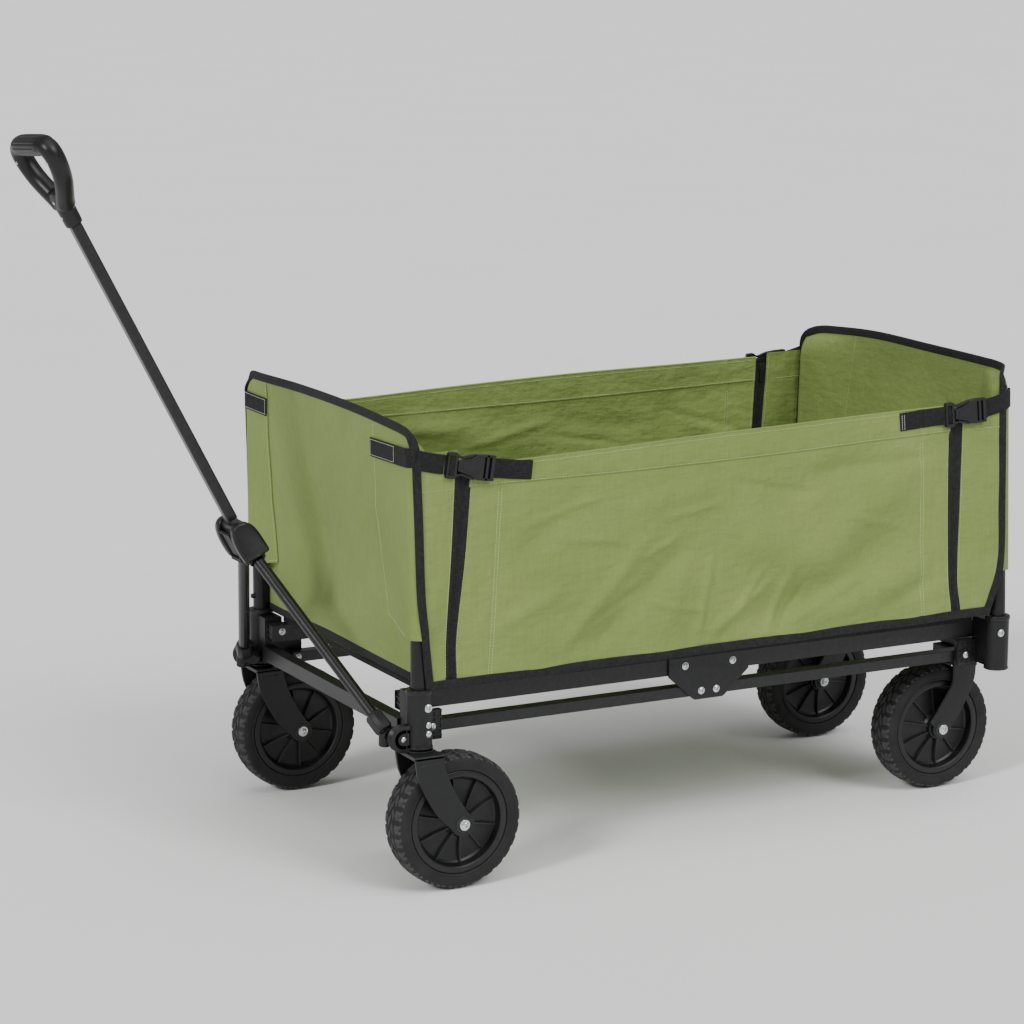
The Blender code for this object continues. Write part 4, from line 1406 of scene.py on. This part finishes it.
def build_bindings():
    """Tape round the end cloths, up the corner edges and along the foot of every cloth."""
    for end in ENDS:
        body = f"{end}_frame"
        bm = bmesh.new()
        points, outs = top_line(end)
        sweep(bm, points, outs, flat_section(TOP_BINDING_W, 0.0042, 6))
        for side in SIDES:
            top = cloth_top(end, SIDES[side] * SHOULDER[end][-1][0]) + 0.004
            points, outs = corner_line(end, side, top)
            sweep(bm, points, outs, flat_section(BINDING_W, BINDING_T, 4))
        add_piece(f"{end}_binding", bm, BINDING, body, "cloth", 60)
        points, outs = [], []
        for y in steps(-END_HEM_Y, END_HEM_Y, 70):
            side = "left" if y < 0 else "right"
            z = end_bottom(end, y) + 0.0045
            seam_y = follow(SEAM[end, side], z)
            if abs(y) <= seam_y:
                d = end_d(end, y, z)
            else:
                t = (abs(y) - seam_y) / (END_HEM_Y - seam_y)
                d = inner_path(end, side, z, t * 0.93)[0]
            points.append(at(end, d, y, z))
            outs.append(Vector((-INWARD[end], 0, 0)))
        hem = add_band(f"{end}_bottom_binding", points, outs, flat_section(0.012, 0.0034, 4), body)
        flatten_end(hem, end)
    for side, s in SIDES.items():
        points = []
        for x in steps(FLAP_BOTTOM_FROM, FLAP_BOTTOM_TO, 180):
            sag = 0.0009 * math.sin(x * 31.0) + 0.001 * noise.noise(Vector((x * 14.0, s * 3.0, 0)))
            z = follow(TUB_BOTTOM, x) + 0.0057 + sag * 0.6
            points.append(at("front", x, s * (SIDE_Y + 0.0006 + sag), z))
        section = flat_section(0.012, 0.0036, 4)
        hem = add_band(f"side_bottom_binding_{side}", points, Vector((0, s, 0)), section, "rear_frame")
        gather(hem)


def build_boards():
    """Cloth-covered floor boards with a stitched edge, and black tape over their outer ends."""
    for end in ENDS:
        low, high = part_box(f"{end}_floor")

        def point(v, u, low=low, high=high):
            x, y = mix(low.x, high.x, u), mix(low.y, high.y, v)
            edge = min(u, 1 - u) * (high.x - low.x), min(v, 1 - v) * (high.y - low.y)
            drop = 0.0012 * sum(math.exp(-e / 0.006) for e in edge)
            wave = 0.0005 * noise.noise(Vector((x * 14.0, y * 14.0, 2.0)))
            return Vector((x, y, (low.z + high.z) / 2 - drop + wave))

        board = add_sheet(f"{end}_floor_cloth", grid(70, 70, point), f"{end}_rails",
                          high.z - low.z - 0.002, 60)
        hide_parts(f"{end}_floor")
        bm = bmesh.new()
        x_a, x_b = low.x + STITCH_INSET, high.x - STITCH_INSET
        y_a, y_b = low.y + STITCH_INSET, high.y - STITCH_INSET
        corners = ((x_a, y_a), (x_b, y_a), (x_b, y_b), (x_a, y_b))
        for (x1, y1), (x2, y2) in zip(corners, corners[1:] + corners[:1]):
            line = [Vector((mix(x1, x2, t), mix(y1, y2, t), high.z - 0.0008)) for t in steps(0, 1, 20)]
            stitch(bm, line, Vector((0, 0, 1)))
        add_piece(f"{end}_floor_stitches", bm, GREEN_THREAD, f"{end}_rails", "cloth")
        outer = (low.x if end == "front" else high.x) - INWARD[end] * 0.0004
        line = [Vector((outer, y, (low.z + high.z) / 2)) for y in steps(low.y, high.y, 20)]
        section = flat_section(0.0074, 0.0014, 3)
        add_band(f"{end}_floor_tape", line, Vector((-INWARD[end], 0, 0)), section, f"{end}_rails")


def build_gussets():
    """Soft cloth between the boards and the sides, and a lip at each end."""
    for side, s in SIDES.items():
        low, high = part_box(f"floor_edge_{side}")

        def point(v, u, low=low, high=high, s=s):
            x = mix(low.x, high.x, u)
            y = mix(0.2215, SIDE_Y - 0.0026, v)
            rise = mix(0.263, follow(TUB_BOTTOM, x - END_X["front"]) + 0.0128, v ** 2.2)
            return Vector((x, s * y, rise + 0.0006 * noise.noise(Vector((x * 12.0, v * 3.0, s)))))

        gusset = add_sheet(f"floor_gusset_{side}", grid(12, 160, point), "rear_frame")
        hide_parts(f"floor_edge_{side}")
        gather(gusset)
        line = [Vector((x, s * 0.2222, 0.2612)) for x in steps(low.x, high.x, 80)]
        section = flat_section(0.0135, 0.0014, 3)
        tape = add_band(f"floor_edge_tape_{side}", line, Vector((0, s, 0)), section, "rear_frame")
        gather(tape)
    for end in ENDS:
        def point(v, u, end=end):
            y = mix(-0.232, 0.232, u)
            return at(end, mix(end_d(end, y, 0.275) + 0.0005, 0.033 if end == "front" else 0.04, v), y,
                      mix(0.279, 0.2665, v) + 0.0005 * math.sin(y * 60.0))

        add_sheet(f"{end}_floor_lip", grid(6, 60, point), f"{end}_frame")


# ---------------------------------------------------------------- seams
def seam_rows(bm, line, outs, lift):
    """Stitch along a line on both faces of a cloth."""
    outs = for_each(line, outs)
    for face in (-1, 1):
        stitch(bm, [p + o * face * lift for p, o in zip(line, outs)], [o * face for o in outs])


def build_side_stitches(side):
    """Rows along the hem, the top, the two seams and beside the zips."""
    out = Vector((0, SIDES[side], 0))
    bm = bmesh.new()
    lift = CLOTH_THICK / 2 + THREAD_LIFT
    hem_lift = CLOTH_THICK * 1.35 + 0.0005
    across = steps(0.075, LENGTH - 0.095, 160)
    for edge, offset in ((SIDE_HEM, 0.0018), (SIDE_TOP, -0.004)):
        line = [side_point(side, x, follow(edge, x) + offset) for x in across]
        seam_rows(bm, line, out, hem_lift)
    for seam in SIDE_SEAMS:
        for offset in (0.0, 0.004):
            line = [side_point(side, follow(seam, z) + offset, z) for z in steps(0.279, 0.526, 60)]
            seam_rows(bm, line, out, lift)
    for z_low, z_high, extra in ((0.281, 0.526, lift), (0.534, 0.552, hem_lift)):
        heights = steps(z_low, z_high, 50)
        front = [(zip_edges("front", z)[1] + ZIP_STITCH_GAP, z) for z in heights]
        rear = [(LENGTH - zip_edges("rear", z)[1] - ZIP_STITCH_GAP, z) for z in heights]
        for places in (front, rear):
            line = [side_point(side, x, z) for x, z in places]
            seam_rows(bm, line, out, extra)
    gather_flap(add_piece(f"side_stitches_{side}", bm, GREEN_THREAD, f"side_flap_{side}", "cloth"))


def build_end_stitches(end):
    """Rows down the sleeves' seams, along their lower hems, and on the strips beside the zips."""
    forward = Vector((-INWARD[end], 0, 0))
    lift = forward * (CLOTH_THICK / 2 + THREAD_LIFT)
    bm = bmesh.new()
    for side, s in SIDES.items():
        line = []
        for z in steps(SLEEVE_BOTTOM + 0.012, cloth_top(end, s * 0.17) - 0.008, 60):
            d, y = sleeve_path(end, side, z, 0.035)
            line.append(at(end, d, s * y, z) + lift)
        stitch(bm, line, forward)
        line = []
        for z in steps(0.285, cloth_top(end, s * 0.17) - 0.008, 60):
            d, y = seam_point(end, side, z)
            line.append(at(end, d, s * (y + 0.003), z) - forward * (CLOTH_THICK / 2 + 0.0002))
        stitch(bm, line, -forward)
        hem = []
        for t in steps(0.03, 0.55, 24):
            z = SLEEVE_BOTTOM + 0.01 * (1 - smooth_step(0.0, 0.6, t)) + 0.003
            d, y = sleeve_path(end, side, z, t)
            hem.append(at(end, d, s * y, z) + lift)
        stitch(bm, hem, forward)
        flat_out = Vector((0, s, 0))
        z_hem = follow(SIDE_HEM, 0.03 if end == "front" else LENGTH - 0.05)
        near_zip = 0.95 if end == "front" else 0.965
        upright = [(z, near_zip) for z in steps(0.282, strip_top(end) - 0.006, 60)]
        level = [(z_hem, t) for t in steps(0.12, 0.93, 16)]
        for places in (upright, level):
            line = []
            for z, t in places:
                d, y = strip_path(end, z, t)
                line.append(at(end, d, s * y, z))
            seam_rows(bm, line, flat_out, CLOTH_THICK / 2 + 0.0003)
    add_piece(f"{end}_stitches", bm, GREEN_THREAD, f"{end}_frame", "cloth")


# ---------------------------------------------------------------- zips
# across a zip tape: (share of its half width, rise)
TAPE_FORM = ((0.0006, 0.0004), (0.3, -0.0002), (0.62, -0.0002), (1.0, 0.0002), (1.22, 0.0006))
COIL_BEAD = (0.0011, 0.0009, 0.00072)


def build_zip(end, side):
    """Two tapes with a coil each; one stays at the corner and one goes with the side cloth."""
    s = SIDES[side]
    low, high = 0.2745, 0.556 if end == "front" else 0.564
    for half, body in ((-1, f"{end}_frame"), (1, f"side_flap_{side}")):
        bm = bmesh.new()
        rows = []
        for z in steps(low, high, 56):
            mid, wide = follow(ZIP_MIDDLE[end], z), follow(ZIP_HALF, z)
            rows.append([at(end, mid + half * wide * k, s * (SIDE_Y + rise + 0.0002), z) for k,
                         rise in TAPE_FORM])
        sheet_shell(bm, rows, 0.0011)
        for z in steps(low + 0.004, high - 0.004, 150):
            mid = follow(ZIP_MIDDLE[end], z)
            x, y, _ = at(end, mid + half * 0.00105, s * (SIDE_Y + 0.0002), z)
            a, b, c = COIL_BEAD
            block(bm, upright, (x - a, x + a), (z - c, z + c), (y - b, y + b))
        part = "corner" if half < 0 else "flap"
        tape = add_piece(f"{end}_zip_{part}_{side}", bm, BINDING, body, "cloth", 60)
        if half > 0:
            gather_flap(tape)
    build_slider(end, side, high - 0.006)


def build_slider(end, side, z):
    """Slider at the top of a zip, and its pull on the inside."""
    mid = follow(ZIP_MIDDLE[end], z)

    def place(u, v, w):
        return at(end, mid + u, SIDES[side] * (SIDE_Y + w), z + v)

    slider, pull = bmesh.new(), bmesh.new()
    prism(slider, mirrored([(0.004, -0.005), (0.0046, 0.003), (0.0026, 0.0056)]), place, 0.0008, 0.0034)
    block(slider, place, (-0.0012, 0.0012), (-0.0035, 0.0035), (0.0034, 0.0052))
    prism(pull, mirrored([(0.0024, -0.022), (0.003, -0.0185), (0.0018, -0.002)]), place, -0.004, -0.0028)
    block(pull, place, (-0.0036, 0.0036), (-0.005, 0.005), (-0.003, -0.0008))
    for part, bm in (("slider", slider), ("pull", pull)):
        name = f"{end}_zip_{part}_{side}"
        bevel(add_piece(name, bm, PLASTIC, f"{end}_frame", "black_plastic", soft=True), 0.0004)


# ---------------------------------------------------------------- straps and buckles
def outer_skin(end, side, z):
    """Plan points of the tub's outside, from the seam on the end round the post to the zip."""
    around = [sleeve_path(end, side, z, t) for t in steps(0, 1, 28)]
    along = [strip_path(end, z, t) for t in steps(0, 1, 14)][1:]
    return [at(end, d, SIDES[side] * y, 0) for d, y in around + along]


def lifted(points, lift):
    """Move a plan line outwards, away from the tub's middle."""
    moved = []
    for i, point in enumerate(points):
        along = (points[min(i + 1, len(points) - 1)] - points[max(i - 1, 0)]).normalized()
        out = Vector((along.y, -along.x, 0))
        if out.dot(point - Vector((MID_X, 0, 0))) < 0:
            out = -out
        moved.append((point + out * lift, out))
    return moved


def add_webbing(name, lines, outs, body):
    """One strap or more, all facing the same way or each point its own way."""
    bm = bmesh.new()
    for line in lines:
        sweep(bm, line, outs, flat_section(WEBBING_W, WEBBING_T, 4))
    return add_piece(name, bm, WEBBING, body, "cloth", 50)


def build_corner_strap(end, side):
    """Webbing sewn to the end cloth, taken round the post to the buckle."""
    front = end == "front"
    z_seam, z_corner, z_end = (0.567, 0.5715, 0.5605) if front else (0.574, 0.578, 0.5665)
    reach = 0.033 if front else 0.037
    skin = lifted(outer_skin(end, side, 0.568), STRAP_LIFT)
    start_y = follow(SEAM[end, side], 0.57) + 0.006
    kept = [(p, o) for p, o in skin if abs(p.y) >= start_y or abs(p.x - END_X[end]) < 0.02]
    kept = [(p, o) for p, o in kept if INWARD[end] * (p.x - END_X[end]) <= reach]
    first_end = next(i for i, (p, _) in enumerate(kept) if abs(p.y) > POST_Y + 0.012)
    line, outs = [], []
    for i, (p, o) in enumerate(kept):
        if i <= first_end:
            z = mix(z_seam, z_corner, i / first_end)
        else:
            z = mix(z_corner, z_end, (i - first_end) / max(len(kept) - 1 - first_end, 1))
        line.append(Vector((p.x, p.y, z)))
        outs.append(o)
    add_webbing(f"{end}_strap_{side}", [line], outs, f"{end}_frame")
    bm = bmesh.new()
    box = [i for i in range(len(line)) if abs(line[i].y) <= start_y + 0.072 and i <= first_end]
    up, reach, lift = Vector((0, 0, 1)), WEBBING_W * 0.4, WEBBING_T / 2 + THREAD_LIFT
    for offset in (-reach, reach):
        row = [line[i] + up * offset + outs[i] * lift for i in box]
        stitch(bm, row, [outs[i] for i in box], 0.0036)
    for i, inset in ((box[0], 0.002), (box[-1], -0.001)):
        along = (line[min(i + 1, len(line) - 1)] - line[max(i - 1, 0)]).normalized()
        row = [line[i] + along * inset + up * t + outs[i] * lift for t in (-reach, 0, reach)]
        stitch(bm, row, outs[i], 0.003, 0.0024)
    add_piece(f"{end}_strap_stitches_{side}", bm, PALE_THREAD, f"{end}_frame", "cloth")


def buckle_frame(side, x, z, slope, lift):
    """Local placing for a buckle: a along the strap, b up, c outwards."""
    s = SIDES[side]
    along = Vector((math.cos(slope), 0, math.sin(slope)))
    up = Vector((-math.sin(slope), 0, math.cos(slope)))
    origin = Vector((END_X["front"] + x, s * (SIDE_Y + lift), z))

    def place(a, b, c):
        return origin + along * a + up * b + Vector((0, s * c, 0))

    return place


def build_plug(name, place, body):
    """The half with the two sprung arms: a bar for the webbing, and the arms."""
    bm = bmesh.new()
    for b in (-1, 1):
        bar = [(-0.0085, b * 0.0155), (-0.0065, b * 0.0172), (0.003, b * 0.0172), (0.006, b * 0.015),
               (0.006, b * 0.0125), (-0.0085, b * 0.0125)]
        prism(bm, bar, place, -0.003, 0.0034)
        arm = [(0.004, b * 0.015), (0.012, b * 0.0122), (0.022, b * 0.015), (0.03, b * 0.0168),
               (0.033, b * 0.015), (0.024, b * 0.0112), (0.013, b * 0.009), (0.004, b * 0.011)]
        prism(bm, arm, place, -0.0022, 0.003)
    for a_low, a_high in ((-0.0085, -0.0055), (0.002, 0.0062)):
        block(bm, place, (a_low, a_high), (-0.014, 0.014), (-0.0026, 0.003))
    prism(bm, [(0.0055, -0.003), (0.03, -0.0022), (0.03, 0.0022), (0.0055, 0.003)], place, -0.0016, 0.002)
    return bevel(add_piece(name, bm, SATIN_PLASTIC, body, "black_plastic", soft=True), 0.0008, 3)


def build_socket_half(name, place, body):
    """The half that the arms click into, with a ladder for the webbing at its far end."""
    bm = bmesh.new()
    shell = [(0.0065, -0.0062), (0.0065, 0.0062), (0.025, 0.0112), (0.033, 0.016), (0.043, 0.0168),
             (0.043, -0.0168), (0.033, -0.016), (0.025, -0.0112)]
    prism(bm, shell, place, -0.0038, 0.0046)
    for a_low, a_high, c in ((0.0462, 0.05, 0.004), (0.0534, 0.058, 0.0046)):
        block(bm, place, (a_low, a_high), (-0.0165, 0.0165), (-0.003, c))
    for b in (-1, 1):
        prism(bm, [(0.042, b * 0.0168), (0.059, b * 0.0164), (0.059, b * 0.0136), (0.042, b * 0.0136)],
              place, -0.0036, 0.004)
    prism(bm, [(0.012, -0.004), (0.03, -0.0075), (0.03, 0.0075), (0.012, 0.004)], place, 0.0046, 0.0052)
    return bevel(add_piece(name, bm, SATIN_PLASTIC, body, "black_plastic", soft=True), 0.0009, 3)


def build_front_buckle(side):
    """Buckle that stays at the corner, with a short loop and two layers of tail."""
    place = buckle_frame(side, 0.04, 0.5585, math.radians(-8.0), 0.0062)
    out = Vector((0, SIDES[side], 0))
    build_plug(f"front_buckle_plug_{side}", place, "front_frame")
    build_socket_half(f"front_buckle_socket_{side}", place, "front_frame")
    lines = [[place(a, 0.0, 0.0022 * math.cos(a * 300)) for a in steps(-0.01, 0.0045, 12)]]
    for start, end, rise in ((0.0405, 0.1165, -0.0006), (0.038, 0.09, -0.003)):
        lines.append([place(a, 0.0006 * math.sin(a * 60), rise - 0.0028 * smooth_step(0.058, 0.075, a))
                      for a in steps(start, end, 24)])
    add_webbing(f"front_buckle_tail_{side}", lines, out, "front_frame")


def build_rear_buckle(side):
    """Buckle whose plug is on a webbing sewn to the side cloth."""
    s = SIDES[side]
    out = Vector((0, s, 0))
    buckle_x, lift_out = 0.8135, 0.0064
    place = buckle_frame(side, buckle_x, 0.562, math.radians(3.2), lift_out)
    plug = build_plug(f"rear_buckle_plug_{side}", place, f"side_flap_{side}")
    gather_flap(plug)
    build_socket_half(f"rear_buckle_socket_{side}", place, "rear_frame")
    line = []
    for a in steps(-0.082, 0.0045, 32):
        on_cloth = side_out(side, buckle_x + a, 0.56) - SIDE_Y - lift_out + 0.003
        line.append(place(a, 0.0, mix(on_cloth, 0.0002, smooth_step(-0.03, -0.006, a))))
    gather_flap(add_webbing(f"rear_buckle_strap_{side}", [line], out, f"side_flap_{side}"))
    bm = bmesh.new()
    for a in (-0.0795, -0.0755):
        row = [place(a, b, 0.0) for b in (-0.0112, 0.0, 0.0112)]
        for point in row:
            point.y = line[1].y + s * (WEBBING_T / 2 + THREAD_LIFT)
        stitch(bm, row, out, 0.003, 0.0024)
    gather_flap(add_piece(f"rear_buckle_stitches_{side}", bm, PALE_THREAD, f"side_flap_{side}", "cloth"))
    tail = [place(a, 0.0, mix(0.0004, -0.0022, smooth_step(0.055, 0.072, a)))
            for a in steps(0.044, 0.064, 12)]
    add_webbing(f"rear_buckle_tail_{side}", [tail], out, "rear_frame")


# ---------------------------------------------------------------- materials on the CAD parts that show
def dress_frame():
    """Give every shown CAD part its material and softened edges."""
    looks = {"post": STEEL, "rail": STEEL, "crossbar": STEEL, "plate": STEEL, "tube": GLOSS_STEEL,
             "axle": ZINC,
             "pin": STEEL, "socket": PLASTIC, "swivel": STEEL}
    for name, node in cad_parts.items():
        if node.hide_render:
            continue
        material = next((look for word, look in looks.items() if word in name), PLASTIC)
        node.data.materials.clear()
        node.data.materials.append(material)
        weld = node.modifiers.new("weld", "WELD")
        weld.merge_threshold = 0.00001
        bevel(node, 0.0011 if "socket" in name else 0.0008, 2, 40.0)


build_camera()
build_studio()
build_wheels()
build_forks()
for end_name in ENDS:
    for side_name in SIDES:
        build_socket_trim(end_name, side_name)
        build_post(end_name, side_name)
for side_name in SIDES:
    build_rear_blocks(side_name)
build_centre_bolts()
build_end_caps()
build_yoke_trim()
build_hub()
build_grip()
for side_name in SIDES:
    build_side(side_name)
    build_side_stitches(side_name)
for end_name in ENDS:
    build_end_cloth(end_name)
    build_end_stitches(end_name)
    for side_name in SIDES:
        build_sleeve(end_name, side_name)
        build_zip(end_name, side_name)
        build_corner_strap(end_name, side_name)
build_bindings()
build_boards()
build_gussets()
for side_name in SIDES:
    build_front_buckle(side_name)
    build_rear_buckle(side_name)
build_bolts()
dress_frame()
